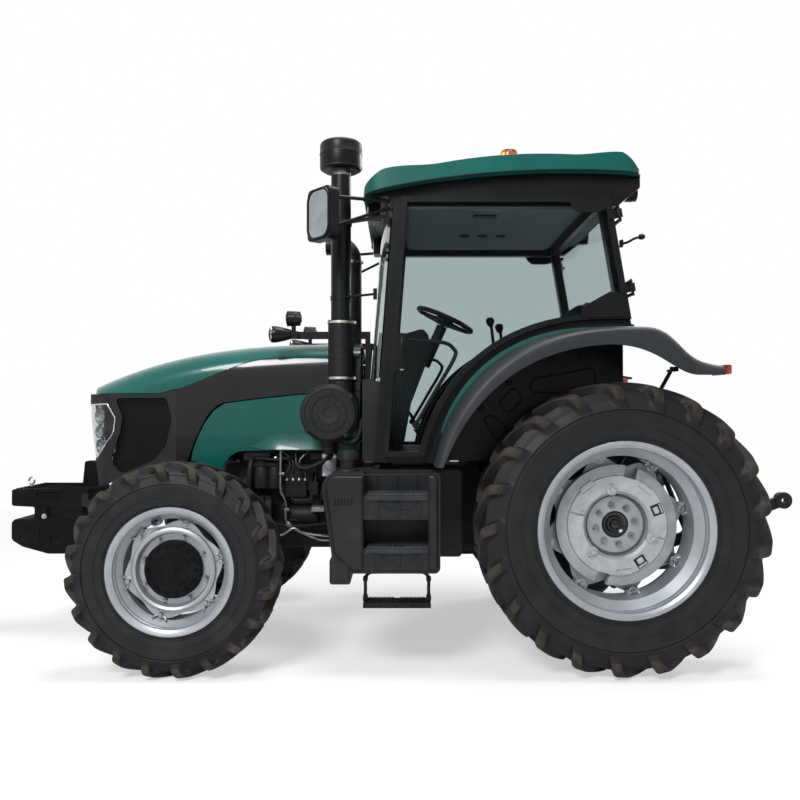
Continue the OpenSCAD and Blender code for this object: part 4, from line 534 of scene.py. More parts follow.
def tyreShape(size):
    r = size["radius"]
    outer = [(y, radius, 0) for radius, y in tyreHalf(size, tread["insetMm"])]
    path = smoothPath(outer[:11], 4) + smoothPath(outer[11:], 3)
    rows, lateral = [], 0.0
    for i, q in enumerate(path):
        if i:
            lateral += (q - path[i - 1]).length
        ahead = path[min(i + 1, len(path) - 1)] - path[max(i - 1, 0)]
        normal = Vector((-ahead.y, ahead.x, 0)).normalized()
        if normal.y < 0 and i < tread["crownRows"]:
            normal = -normal
        rows.append((q, normal, lateral))
    treadHalf = size["width"] * tread["half"]
    pitch = 2 * math.pi / size["lugs"]
    columns = [k * pitch + u * pitch for k in range(size["lugs"]) for u, h in lugRise]
    heights = [h for u, h in lugRise] * size["lugs"]
    count, half = len(columns), len(lugRise) // 2
    points, faces, soilAndHighlightFaces, halves = [], [], [], {}
    for side in (1, -1):
        rings = []
        for i, (q, normal, along) in enumerate(rows):
            if i == 0 and side < 0:
                # The halves share the crown, half a pitch apart
                rings.append([halves[1][0][(k + half) % count] for k in range(count)])
                continue
            swept = min(along, treadHalf) + tread["pastHalf"] * max(0, along - treadHalf)
            shift = (0 if side > 0 else pitch / 2) - swept / r
            fade = min(1.0, along / tread["fadeMm"])
            fade *= 1 - unit((tread["lugFoot"] * r - q.y) / (tread["lugFade"] * r)) ** 1.5
            carcass = unit((q.y - tread["carcassFoot"] * r) / (tread["carcassRise"] * r)) ** 0.8
            rings.append(list(range(len(points), len(points) + count)))
            for column, rise in zip(columns, heights):
                p = q - normal * (size["lugHeight"] * carcass * (1 - rise * fade))
                a = column + shift
                points.append((p.y * math.sin(a), side * p.x, p.y * math.cos(a)))
        halves[side] = rings
        for i, (a, b) in enumerate(zip(rings, rings[1:])):
            for k in range(count):
                n = (k + 1) % count
                if min(heights[k], heights[n]) >= tread["lugFaceRise"] and rows[i][0].y > tread["lugFaceFrom"] * r:
                    soilAndHighlightFaces.append(len(faces))
                faces.append((a[k], a[n], b[n], b[k])[::side])
    # Inner face of the casing, from bead to bead
    casing = tyreHalf(size, tread["casingMm"])
    bead = halves[1][-1]
    turns = [math.atan2(points[k][0], points[k][2]) for k in bead]
    rings = [bead]
    for radius, y in (casing[::-1] + [(radius, -y) for radius, y in casing[1:]])[::2]:
        rings.append(list(range(len(points), len(points) + count)))
        points += [(radius * math.sin(a), y, radius * math.cos(a)) for a in turns]
    rings.append([halves[-1][-1][(k - half) % count] for k in range(count)])
    for a, b in zip(rings, rings[1:]):
        faces += [(a[k - 1], a[k], b[k], b[k - 1]) for k in [*range(1, count), 0]]
    return (points, faces), soilAndHighlightFaces


for end, size in tyreSizes.items():
    shape, soilAndHighlightFaces = tyreShape(size)
    x, y, z = axles[end]
    for side, sign in (("left", 1), ("right", -1)):
        tyre = piece(f"{side}_{end}_tread_tyre", [shifted(shape, (x, sign * y, z))], "tyreRubber",
                     f"{side}_{end}_wheel", 40)
        # The lugs' outer faces take the lighter second finish: dry soil and painted highlight
        tyre.data.materials.append(finishes["lugSoilAndHighlight"])
        for k in soilAndHighlightFaces:
            tyre.data.polygons[k].material_index = 1
        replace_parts(tyre, f"{side}_{end}_tyre")
    print(end, "tyre faces:", len(shape[1]))


# Bonnet skin and side bands, drawn finely from the same curves as the CAD loft; u runs from rear to front

bonnet = {"rear": 187, "front": 1830, "halfRear": 385, "halfFront": 345, "rearZ": 1790, "drop": 268, "wall": 10,
          "shoulder": 200, "power": 3.2, "sweep": 120, "seamRear": 1690, "seamFront": 1480, "seamTurn": (0.3, 0.47),
          "bandLow": (1496, 1430, 1075), "bandKnee": 0.47, "bandFoot": 0.62, "bandEnd": 0.66, "bandGap": 4.2,
          "hinge": (217, 190, 1715), "eye": 22, "strap": (150, 61, 30), "ribs": (0.1, 0.36)}


def bonnetX(u):
    return bonnet["rear"] + u * (bonnet["front"] - bonnet["rear"])


def bonnetTop(u):
    return bonnet["rearZ"] - bonnet["drop"] * u ** 2.8


def bonnetHalf(u):
    return bonnet["halfRear"] - (bonnet["halfRear"] - bonnet["halfFront"]) * u * u


def seamZ(u):
    start, length = bonnet["seamTurn"]
    return bonnet["seamRear"] - (bonnet["seamRear"] - bonnet["seamFront"]) * ease((u - start) / length)


def bandLow(u):
    rear, knee, foot = bonnet["bandLow"]
    start, end = bonnet["bandKnee"], bonnet["bandFoot"]
    if u < start:
        return rear - (rear - knee) * (u / start) ** 1.6
    return knee - (knee - foot) * ((min(u, end) - start) / (end - start)) ** 2.2


def sectionY(u, z, wall):
    w = bonnetHalf(u) - wall
    base = bonnetTop(u) - bonnet["shoulder"]
    if z <= base:
        return w
    part = ((z - base) / (bonnet["shoulder"] - wall)) ** bonnet["power"]
    return w * max(0.0, 1 - part) ** (1 / bonnet["power"])


def bonnetRow(u, wall, half=26):
    n, h, w = bonnet["power"], bonnet["shoulder"] - wall, bonnetHalf(u) - wall
    turn = math.acos(min(1, max(0.02, (seamZ(u) - bonnetTop(u) + bonnet["shoulder"]) / h)) ** (n / 2))
    row = []
    for j in range(-half, half + 1):
        t = abs(j) / half * turn
        y = math.copysign(w * math.sin(t) ** (2 / n), j)
        x = bonnetX(u) - bonnet["sweep"] * u ** 5 * (abs(y) / w) ** 2.5 - (wall if u == 1 else 0)
        row.append((x, y, bonnetTop(u) - bonnet["shoulder"] + h * math.cos(t) ** (2 / n)))
    return row


def bonnetGrid(wall, count=52):
    rows = [bonnetRow((k / count) ** 0.8, wall) for k in range(count + 1)]
    rows.append([(x + 8, y, min(z - 1, bonnet["seamFront"] + 1)) for x, y, z in rows[-1]])
    return rows


hx, hy, hz = bonnet["hinge"]
reach, rise, wide = bonnet["strap"]
eye = [polar(bonnet["eye"], math.radians(a)) for a in range(180, 331, 25)]
strap = [(hx + x, hz + z) for x, z in eye + [(reach, rise), (-bonnet["eye"], rise)]]
inside = [sidePlate(strap, hy, hy + wide, 2)]
for u in bonnet["ribs"]:
    low, high = seamZ(u) - 70, seamZ(u) + 40
    foot, head = sectionY(u, low, bonnet["wall"]), sectionY(u, high, bonnet["wall"])
    rib = [(foot - 34, low), (foot - 4, low), (head, high), (head - 34, high)]
    inside.append(frontPlate(rib, bonnetX(u), bonnetX(u) + 8, 1))
skin = [loft(bonnetGrid(0), bonnetGrid(bonnet["wall"]))] + both(inside)
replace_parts(piece("bonnet_skin", skin, "tealEnamel", "bonnet", 50), "bonnet")
bandStations = [bonnet["bandEnd"] * k / 72 for k in range(73)]
bandGrids = [[[(bonnetX(u), -sectionY(u, z, wall), z)
               for z in np.linspace(bandLow(u), seamZ(u) - bonnet["bandGap"], 15)]
              for u in bandStations] for wall in (0, bonnet["wall"])]
bands = piece("bonnet_side_bands", both([loft(*bandGrids)]), "blackEnamel", "bonnet", 50)
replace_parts(bands, "bonnet_bands")
print("bonnet skin and bands drawn")


# Side panels: the lower flange turns out towards the foot

flange = {"rear": 330, "front": 846, "y": 382.3, "out": 20, "low": 1150, "lift": 16, "height": 86, "wall": 5}
flangeGrids = [[], []]
for k in range(31):
    f = k / 30
    x = flange["rear"] + (flange["front"] - flange["rear"]) * f
    low = flange["low"] + flange["lift"] * ease((f - 0.8) / 0.2)
    high = low + flange["height"] * (1 - ease((f - 0.72) / 0.28)) + 4
    out = flange["out"] * (1 - ease((f - 0.6) / 0.4))
    for grid, wall in zip(flangeGrids, (0, flange["wall"])):
        grid.append([(x, -(flange["y"] - wall + out * (1 - j / 6) ** 1.4), low + (high - low) * j / 6)
                     for j in range(7)])
piece("panel_flanges", both([loft(*flangeGrids)]), "tealEnamel", sharp=50)


# Nose: woven screens, dark ducts behind them, and the lamps

nose = {"rear": 1271.9, "cornerX": 1700, "rearHalf": 367.6, "frontHalf": 347, "frontY": 250, "sideFrom": 150,
        "top": (1838, 1477), "foot": (1745, 930), "screenIn": 12.2, "wirePitch": 11.5, "wire": 1.5, "ductIn": 58,
        "lampIn": 60, "lampAim": (0.62, 0.78, 0), "screen": (139, 1001, 1449)}
lampBowls = (((1752, 268, 1345), 46), ((1758, 262, 1250), 36), ((1752, 262, 1165), 40))
screenOutline = rounded([(1312, 1465), (1280, 1330), (1316, 1160), (1390, 1072), (1599, 990), (1685, 1068),
                         (1624, 1250), (1612, 1344), (1656, 1465)], 20)
lampOutline = rounded([(1890, 1412), (1688, 1418), (1638, 1334), (1650, 1240), (1764, 1095), (1890, 1095)],
                      [0, 12, 20, 20, 20, 0])


def nosePath(inset, step):
    # Plan line of the nose from its rear edge round to the middle of the front, at even steps
    x1 = bonnet["front"] - inset
    corners = rounded([(nose["rear"], nose["rearHalf"] - inset), (nose["cornerX"], nose["frontHalf"] - inset),
                       (x1, nose["frontY"] - 0.4 * inset), (x1, 0), (nose["rear"], 0)], [0, 100, 80, 0, 0], 10)[:-1]
    path, spare = [Vector(corners[0])], 0.0
    for a, b in zip(corners, corners[1:]):
        a, b = Vector(a), Vector(b)
        length = (b - a).length
        at = step - spare
        while at < length:
            path.append(a.lerp(b, at / length))
            at += step
        spare = length - (at - step)
    return [q for q in path if q.y > nose["sideFrom"]]


def noseX(z, inset):
    # The nose front rakes back towards its foot
    (topX, topZ), (footX, footZ) = nose["top"], nose["foot"]
    return topX - inset - (topX - footX) * max(0, topZ - z) / (topZ - footZ)


def spanAt(outline, x):
    # Lowest and highest Z of an outline in X and Z at one X
    cuts = []
    for (x0, z0), (x1, z1) in zip(outline, outline[1:] + outline[:1]):
        if (x0 <= x) != (x1 <= x):
            cuts.append(z0 + (z1 - z0) * (x - x0) / (x1 - x0))
    return (min(cuts), max(cuts)) if len(cuts) > 1 else None


def noseSheet(outline, inset, wall, step=12, rows=9):
    # A sheet that follows the nose inside an outline
    grids = []
    stations = [q for q in nosePath(0, step) if spanAt(outline, q.x)]
    for depth in (inset, inset + wall):
        grid = []
        for i, q in enumerate(stations):
            ahead = stations[min(i + 1, len(stations) - 1)] - stations[max(i - 1, 0)]
            inward = Vector((-ahead.y, ahead.x)).normalized()
            if inward.dot(q - Vector((1400, 0))) > 0:
                inward = -inward
            p = q + inward * depth
            grid.append([(min(p.x, noseX(z, depth)), p.y, z) for z in np.linspace(*spanAt(outline, q.x), rows)])
        grids.append(grid)
    return grids


pitch, wire = nose["wirePitch"], nose["wire"]
screenPath = [(q, spanAt(screenOutline, q.x)) for q in nosePath(nose["screenIn"], pitch)]
screenPath = [(q, span) for q, span in screenPath if span]
wires = [tube([(q.x, q.y, z) for z in span], wire, 5) for q, span in screenPath]
for z in np.arange(992, 1464, pitch):
    run = [(q.x, q.y, z) for q, (low, high) in screenPath if low <= z <= high]
    if len(run) > 1:
        wires.append(tube(run, wire, 5))
half, low, high = nose["screen"]


def screenPoint(y, z):
    return min(bonnet["front"] - nose["screenIn"], noseX(z, 12)), y, z


frontWires = [tube([screenPoint(y, z) for y in (-half, half)], wire, 5) for z in np.arange(low + 1, high, pitch)]
frontWires += [tube([screenPoint(y, z) for z in np.linspace(low, high, 12)], wire, 5)
               for y in np.arange(1 - half, half, pitch)]
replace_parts(piece("nose_screens", both(wires) + frontWires, "frameBlack", "bonnet"), "grille_mesh")
ducts = both([loft(*noseSheet(screenOutline, nose["ductIn"], 3))])
ducts.append(frontPlate(oblong(-half, half, low, high), 1690, 1693, 1))
piece("nose_ducts", ducts, "coreBlack", "bonnet")

lensGrids = noseSheet(lampOutline, 2, 3, 8, 12)
lensFace, lensBack = lensGrids
housing = noseSheet(lampOutline, nose["lampIn"], 4, 8, 12)
edgeLine = [row[0] for row in lensFace] + lensFace[-1][1:-1] + [row[-1] for row in lensFace[::-1]] + \
    lensFace[0][-2:0:-1]
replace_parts(piece("headlamp_lenses", both([loft(*lensGrids)]), "lampGlass", "bonnet", 60), "headlamps")
# The housing's back and its rim, which closes the space up to the lens
backs = [loft(*housing)]
for k, lift in ((0, 3), (-1, -3)):
    sheet = [[row[k] for row in grid] for grid in (lensBack, housing[0])]
    backs.append(loft(sheet, [[(x, y, z + lift) for x, y, z in line] for line in sheet]))
piece("headlamp_housings", both(backs), "coreBlack", "bonnet")
bowls, domes = [], []
for at, r in lampBowls:
    bowls.append(disc(at, nose["lampAim"], [(r * 0.2, -26), (r * 0.6, -20), (r * 0.9, -6), (r, 8), (r + 3, 8),
                                            (r + 3, 4), (r * 0.93, -9), (r * 0.62, -24), (r * 0.2, -30)], 28))
    domes.append(disc(at, nose["lampAim"], [(r * 0.5, -22), (r * 0.5, -4), (r * 0.36, 6), (r * 0.16, 11), (0, 12)],
                      24))
strip = [(x - 4, y - 4, z) for x, y, z in smoothPath(edgeLine[4:len(lensFace) - 1:4], 3)]
piece("headlamp_bowls", both(bowls), "diecast", "bonnet")
piece("headlamp_edges", both([hoop(edgeLine, 4.2), tube(strip, 3.5, 6)]), "chromeTrim", "bonnet")
piece("headlamp_domes", both(domes), "lampGlass", "bonnet")
cover = [frontPlate(rounded([(-52, 1210), (52, 1210), (44, 1262), (-44, 1262)], 12), 1806, 1816, 3)]
cover += [boltHead((1816, y, 1236), xAxis, 9, 4) for y in (-34, 34)]
piece("nose_latch_cover", cover, "frameBlack", "bonnet")
print("nose screens and lamps drawn")


# Roof cap; s runs from rear to front

roof = {"rear": -1367, "front": 153, "half": 830, "crown": 40, "edge": 26, "base": 2548, "rows": 60, "cols": 48,
        "beacon": (-683, 450)}


def roofLow(s):
    return roof["base"] + 112 + 95 * s - 205 * max(0.0, s) ** 2.2


def roofTop(s):
    top = roofLow(s) + 42 + 88 * math.sin(math.pi * unit(0.1 + 0.82 * s)) ** 0.5
    ends = 100 * max(0, 1 - s / 0.085) ** 1.5 + 44 * max(0, (s - 0.93) / 0.07) ** 1.3
    return max(roofLow(s) + 30, top - ends)


caps = [[], []]
spread = [math.sin(math.pi * (j / roof["cols"] - 0.5)) for j in range(roof["cols"] + 1)]
for k in range(roof["rows"] + 1):
    s = 0.5 - 0.5 * math.cos(math.pi * k / roof["rows"])
    half = roof["half"] * (1 - min(0.9985, abs(2 * s - 1)) ** 16) ** (1 / 16)
    x = roof["rear"] + s * (roof["front"] - roof["rear"])
    # The rim stands fuller towards both ends, so that the fascia stays deep there
    fall = 0.66 - 0.62 * ease((0.26 - s) / 0.2) - 0.7 * ease((s - 0.72) / 0.22)
    caps[0].append([(x, v * half, roofTop(s) - fall * (roof["crown"] * abs(v) ** 3 + roof["edge"] * abs(v) ** 14))
                    for v in spread])
    caps[1].append([(x, v * half, roofLow(s)) for v in spread])
boss = disc((*roof["beacon"], 2740), zAxis, [(62, 0), (62, 56), (58, 60), (0, 60)], 40)
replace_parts(piece("roof_cap", [loft(*caps), boss], "roofPolyester", sharp=42), "roof")
# Black corners that close the rear overhang
corner = rounded([(-1196, 2498), (-1240, 2498), (-1362, 2596), (-1362, 2652), (-1196, 2652)], [4, 30, 20, 4, 4])
piece("roof_rear_corners", both([sidePlate(corner, 652, 744, 6)]), "frameBlack")
# Rubber moulding between the cap and its frame
gutter = [(x, -max(0, abs(y) - 6), z - 3) for x, y, z in (row[0] for row in caps[1])]
piece("roof_moulding", both([tube(gutter, 6, 8)]), "hoseRubber")
piece("headliner", [shifted(plate(roundOutline(1000, 1350, 60), 0, 17, 4), (-600, 0, 2529))], "linerFelt")
vents = [disc((x, -180, 2529), minusZ, [(34, 0), (34, 6), (28, 9), (25, 4), (0, 4)], 28) for x in (-470, -590, -710)]
piece("headliner_vents", vents + [roundBox((-620, 330, 2518), (-480, 400, 2530), 14, 3)], "cabinGrey")
print("roof drawn")


# Wheel fittings: bolts, eared clips, valve guards and hub faces. Y runs outward from the wheel's centre

wheelFittings = {
    "front": {"hubBolts": 8, "hubR": 168, "hubY": 41, "hubTurn": 17, "hubHead": 25,
              "clips": 6, "clipR": 240, "clipY": 63, "clipTurn": 45, "clipHead": 22,
              "guardR": 268, "guardTurn": 71, "guardY": (48, 102)},
    "rear": {"hubBolts": 8, "hubR": 106, "hubY": -52, "hubTurn": 35, "hubHead": 28,
             "clips": 8, "clipR": 362, "clipY": -23, "clipTurn": 31, "clipHead": 26,
             "guardR": 392, "guardTurn": 110, "guardY": (20, 92)},
}
# Path of a clip's ear: along the rim, towards it, outward
earPath = ((0, 0, 3), (17, 6, 5), (31, 17, 12), (36, 24, 21))
# Angles round the ring weights, in degrees; the plates have their radius too
ringWeight = {"bolts": (81, 200, 314), "boltR": 194, "boltY": 12.8, "hooks": (158, 237),
              "plates": ((52, 262), (128, 250), (262, 250)), "pads": (16, 196)}


def onWheel(end, side, shapes):
    x, y, z = axles[end]
    if side == "left":
        return [shifted(shape, (x, y, z)) for shape in shapes]
    return [shifted(mirrored(shape), (x, -y, z)) for shape in shapes]


def wheelPoint(radius, y, degrees):
    x, z = polar(radius, math.radians(degrees))
    return Vector((x, y, z))


def fittings(size):
    bright, painted = [], []
    for k in range(size["hubBolts"]):
        a = size["hubTurn"] + 360 * k / size["hubBolts"]
        bright.append(boltHead(wheelPoint(size["hubR"], size["hubY"], a), yAxis, size["hubHead"], 17, True, k * 0.7))
        bright.append(disc(wheelPoint(size["hubR"], size["hubY"] + 17, a), yAxis,
                           [(7, 0), (7, 9), (5.5, 11), (0, 11)], 12))
    for k in range(size["clips"]):
        a = size["clipTurn"] + 360 * k / size["clips"]
        out, along = wheelPoint(1, 0, a), wheelPoint(1, 0, a + 90)
        foot = wheelPoint(size["clipR"], size["clipY"], a)
        bright.append(boltHead(foot + Vector((0, 4, 0)), yAxis, size["clipHead"], 16, True, k))
        for s in (-1, 1):
            ear = [foot + along * s * aside + out * outward + Vector((0, up, 0)) for aside, outward, up in earPath]
            painted.append(pipe(ear, 4.6, 4, 8))
        painted.append(disc(foot, yAxis, [(22, 0), (22, 3), (18, 5), (0, 5)], 20))
    # Valve guard: a short sleeve on the rim well, with the valve in it
    y, long = size["guardY"][0], size["guardY"][1] - size["guardY"][0]
    painted.append(disc(wheelPoint(size["guardR"], y, size["guardTurn"]), yAxis,
                        [(28, 0), (28, long - 4), (25, long), (22, long - 3), (21, 12), (0, 12)], 24))
    valve = disc(wheelPoint(size["guardR"], y + 8, size["guardTurn"]), yAxis,
                 [(5, 0), (5, 26), (7, 28), (7, 38), (4, 40), (0, 40)], 14)
    return bright, painted, [valve]


# Long bolts on their bosses, hooks on dark plates that paint the shade of their pockets, plates and pads of the ring
# weights
extras, pocketShadeAndLinerMouldings = [], []
for a in ringWeight["bolts"]:
    extras.append(boltHead(wheelPoint(ringWeight["boltR"], ringWeight["boltY"], a), yAxis, 26, 12, True, a))
    boss = rounded([(168, -44), (168, 44), (238, 0)], [18, 18, 14])
    extras.append(placed(sidePlate(boss, 0.3, 13, 5), turnY(a)))
for a in ringWeight["hooks"]:
    # A thin dark plate on the silver face is painted shade for each hook's pocket
    pocketShadeAndLinerMouldings.append(placed(roundBox((198, -0.2, -30), (256, 0.9, 30), 4, 0.4), turnY(a)))
    extras.append(placed(roundBox((206, -26, -18), (234, 12, 18), 4, 2.5), turnY(a)))
    extras.append(placed(roundBox((243, -4, -26), (253, 6, 26), 3, 1.5), turnY(a)))
extras += [placed(roundBox((r - 16, 0.3, -40), (r + 16, 3.2, 40), 5, 1.2), turnY(a)) for a, r in ringWeight["plates"]]
extras += [placed(roundBox((186, 0.3, 6), (206, 8, 26), 4, 2), turnY(a)) for a in ringWeight["pads"]]
for end, size in wheelFittings.items():
    bright, painted, valve = fittings(size)
    sets = [(f"{end}_wheel_bolts", bright, "bareSteel"), (f"{end}_wheel_clips", painted, "wheelSilver"),
            (f"{end}_tyre_valve", valve, "hoseRubber")]
    if end == "rear":
        sets += [("ring_weight_fittings", extras, "castSilver"), ("hook_pocket_shade", pocketShadeAndLinerMouldings, "castingPaint")]
    for side in ("left", "right"):
        for name, shapes, finish in sets:
            piece(f"{side}_{name}", onWheel(end, side, shapes), finish, f"{side}_{end}_wheel")
# Moulded rings on both sidewalls of each tyre
for end, size in tyreSizes.items():
    walls = [wallPoint(size, t, tread["insetMm"]) for t in (0.07, 0.3, 0.64)]
    rings = [ring((0, s * y, 0), yAxis, radius, 3.6, 96, 8) for radius, y in walls for s in (-1, 1)]
    for side in ("left", "right"):
        piece(f"{side}_{end}_sidewall_rings", onWheel(end, side, rings), "tyreRubber", f"{side}_{end}_wheel", 60)
# Rear hub centres: black pressed caps with a turned nose
cap = [disc((0, -66.5, 0), yAxis, [(70, 0), (71, 5), (70, 15), (64, 20), (52, 16), (40, 7), (30, 7), (27, 18),
                                   (22, 23), (8, 25), (0, 25)], 48)]


def hubCurve(centre, radius, y, turns, thick):
    # A rib round a point of the hub face
    return tube([(centre[0] + x, y, centre[1] + z) for x, z in (polar(radius, t) for t in turns)], thick, 6)


# Front hub faces: raised scales and swept ribs on the cast cover
face = around(14, 6, lambda a: hubCurve(polar(120, a), 15, 81.5, np.linspace(a - 2.2, a + 2.2, 12), 2.4))
face += [hubCurve((0, 0), r, 85, np.linspace(t0, t1, 24), 2.6)
         for r, t0, t1 in ((86, 0.4, 2.9), (86, 3.6, 5.6), (30, 1.2, 4.4), (58, 2.0, 3.4))]
face += [ring((0, 80, 0), yAxis, 142, 3.2, 64, 8), disc((0, 84, 0), yAxis, [(16, 0), (16, 3), (12, 6), (0, 6)], 24)]
for side in ("left", "right"):
    piece(f"{side}_rear_hub_cap", onWheel("rear", side, cap), "blackEnamel", f"{side}_rear_wheel")
    piece(f"{side}_front_hub_face", onWheel("front", side, face), "castBlack", f"{side}_front_wheel")
print("wheel fittings placed")


# Air intake: wrapped hose, gloss pipe, clamps, and the cleaner's end cover

stack = {"at": (290, 520), "hose": (1548, 1894), "hoseR": 72, "wrapPitch": 13, "wrapRise": 2.4, "pipe": (1894, 2718),
         "pipeR": 57.2, "clamps": ((1880, 75), (1562, 75), (2735, 43)), "canister": (347, 664, 1362)}


def clamp(at, direction, radius, wide=14):
    # A worm-drive band with its screw housing
    half = wide / 2
    band = turned([(radius, -half), (radius + 2.2, -half), (radius + 2.2, half), (radius, half), (radius, -half)], 40)
    box = roundBox((radius - 1, -13, -half - 1), (radius + 12, 13, half + 1), 3, 2)
    screw = boltHead((radius + 6, 13, 0), yAxis, 9, 8, False)
    return placed(joined([band, box, screw]), aimed(at, direction))


def onStack(profile, sides):
    return disc((*stack["at"], 0), zAxis, profile, sides)


low, high = stack["hose"]
wrap = [(stack["hoseR"] + stack["wrapRise"] * abs(math.sin(math.pi * (z - low) / stack["wrapPitch"])), z)
        for z in np.arange(low, high, stack["wrapPitch"] / 4)]
piece("intake_hose_wrap", [onStack([(60, low)] + wrap + [(60, high)], 48)], "hoseRubber", sharp=70)
low, high = stack["pipe"]
gloss = [(50, low)] + [(stack["pipeR"], z) for z in (low, 2428, 2470, high)] + [(50, high)]
bowl = [(84, 2746), (97, 2745), (116, 2756), (121, 2772), (121, 2836), (123, 2838), (123, 2846), (121, 2849),
        (121, 2888), (117, 2904), (104, 2915), (64, 2922), (0, 2924)]
piece("intake_pipe", [onStack(gloss, 48), onStack(bowl, 64)], "frameBlack")
clamps = [clamp((*stack["at"], z), zAxis, r) for z, r in stack["clamps"]]
piece("intake_clamps", clamps + [onStack([(43, 2722), (47, 2724), (47, 2746), (43, 2748)], 40)], "zincPlate")
cx, cy, cz = stack["canister"]
rimRings = [(146, 0), (144, 6), (136, 7), (132, 3), (105, 3), (102, 8), (95, 8), (92, 3), (62, 3), (60, 6), (38, 6),
            (34, 5), (34, 0.6), (0, 0.6)]
cover = [disc((cx, cy, cz), yAxis, rimRings, 72)]
# Two rows of ribs, the snap clips round the rim, and bars along the canister
for count, start, boxes in (
        (12, 0, [((64, -3, 2), (92, 3, 6.5), 2, 1)]), (24, 7, [((106, -2, 2), (131, 2, 5.5), 1.5, 0.8)]),
        (4, 38, [((150, -15, -42), (166, 15, -4), 4, 2), ((140, -11, -6), (164, 11, 5), 4, 2)]),
        (9, 15, [((152, -5, -190), (158, 5, -45), 3, 2)])):
    ribs = joined([roundBox(*box) for box in boxes])
    cover += around(count, start, lambda a: placed(ribs, aimed((cx, cy, cz), yAxis, a)))
# Dust valve below, and the crankcase duct behind
cover.append(disc((cx + 8, 560, 1214), minusZ, [(46, 0), (46, 8), (38, 12), (38, 44), (43, 46), (43, 54), (36, 58),
                                                (30, 76), (12, 84), (0, 84)], 28))
piece("air_cleaner_cover", cover, "mouldedBlack")
duct = smoothPath([(306, 600, 1236), (262, 606, 1204), (206, 610, 1206), (178, 608, 1252), (168, 600, 1330)])
piece("breather_duct", [tube(duct, 19, 16), clamp(duct[6], duct[7] - duct[5], 19.5, 10)], "hoseRubber")
# Second stay from the pipe to the front post
stay = [roundBox((78, 690, 1990), (100, 700, 2052), 3, 2),
        tube([(96, 694, 2020), (200, 620, 2020), (268, 560, 2020)], 7, 10),
        onStack([(57.4, 2008), (61, 2008), (61, 2032), (57.4, 2032), (57.4, 2008)], 40)]
piece("intake_stay", stay, "frameBlack")
print("air intake detailed")


# Exhaust: a punched heat shield and a rolled outlet

exhaust = {"at": (285, -500), "r": 66.3, "from": 1690, "to": 2400, "rowMm": 22, "perRow": 18, "hole": 5.5,
           "clamps": (1668, 2408), "outlet": 2524}
ex, ey = exhaust["at"]
holes = []
for i, z in enumerate(np.arange(exhaust["from"], exhaust["to"], exhaust["rowMm"])):
    for k in range(exhaust["perRow"]):
        x, y = polar(1, 2 * math.pi * (k + 0.5 * (i % 2)) / exhaust["perRow"])
        holes.append(disc((ex + exhaust["r"] * x, ey + exhaust["r"] * y, z), (x, y, 0),
                          [(exhaust["hole"], -0.6), (exhaust["hole"], 0.25), (0, 0.25)], 8))
piece("exhaust_shield_holes", holes, "coreBlack")
lip = [ring((463, ey, exhaust["outlet"]), xAxis, 62, 3.5, 40, 8),
       disc((462, ey, exhaust["outlet"]), minusX, [(60, 0), (58, 30), (0, 30)])]
piece("exhaust_outlet", lip + [clamp((ex, ey, z), zAxis, 67, 16) for z in exhaust["clamps"]], "bareSteel")


# Tank and step box: serrated treads, riser mouldings, filler cap and hung steps

steps = {"x": (-205, 125), "back": 800, "front": 985, "bulge": 20, "floors": (668, 940), "toothMm": 15, "face": 984.5,
         "risers": ((824, 908), (556, 636)), "toothRows": (10, 34), "toothGap": 22, "filler": (228, 860)}


def treadEdge(x):
    x0, x1 = steps["x"]
    t = (x - x0) / (x1 - x0) * 2 - 1
    return steps["front"] + steps["bulge"] * (1 - t * t)


def treadPlate(floor):
    x0, x1 = steps["x"]
    curve = [(x, treadEdge(x)) for x in (x0 + (x1 - x0) * k / 24 for k in range(25))]
    shapes = [plate(curve + [(x1, steps["back"]), (x0, steps["back"])], floor + 0.5, floor + 9, 2),
              plate(curve + [(x1, steps["front"] + 0.6), (x0, steps["front"] + 0.6)], floor - 26, floor + 1, 3)]
    for inset in steps["toothRows"]:
        for x in np.arange(x0 + 14, x1 - 8, steps["toothMm"]):
            if abs(x - (x0 + x1) / 2) >= steps["toothGap"]:
                shapes.append(disc((x, treadEdge(x) - inset, floor + 9), zAxis,
                                   [(6.4, -1), (5.2, 4), (3.4, 5.5), (3.0, 3), (0, 3)], 8))
    return shapes


# The treads are drawn in the flares' lighter grey as painted highlight: their tops and lips catch the light from above
piece("step_treads", both([shape for floor in steps["floors"] for shape in treadPlate(floor)]), "flareGrey")
mouldings = []
for low, high in steps["risers"]:
    for f in (0.2, 0.5, 0.8):
        x = -220 + 360 * f
        mouldings.append(sidePlate(rounded(oblong(x - 9, x + 9, low, high), 4), 984.8, 990, 2))
    line = rounded([(-136, high + 8), (-112, high - 34), (32, high - 34), (56, high + 8)], [4, 14, 14, 4])
    mouldings.append(tube([(x, 986, z) for x, z in line], 5, 8))
tankSeam = rounded([(345, 990), (312, 1046), (-246, 1046), (-246, 552), (200, 552), (296, 640)],
                   [60, 40, 30, 30, 20, 20], 6)
mouldings.append(hoop([(x, 984.4, z) for x, z in tankSeam], 3.2, 6))
mouldings.append(sidePlate(rounded(oblong(216, 306, 500, 596), 12), steps["face"], 990, 3))
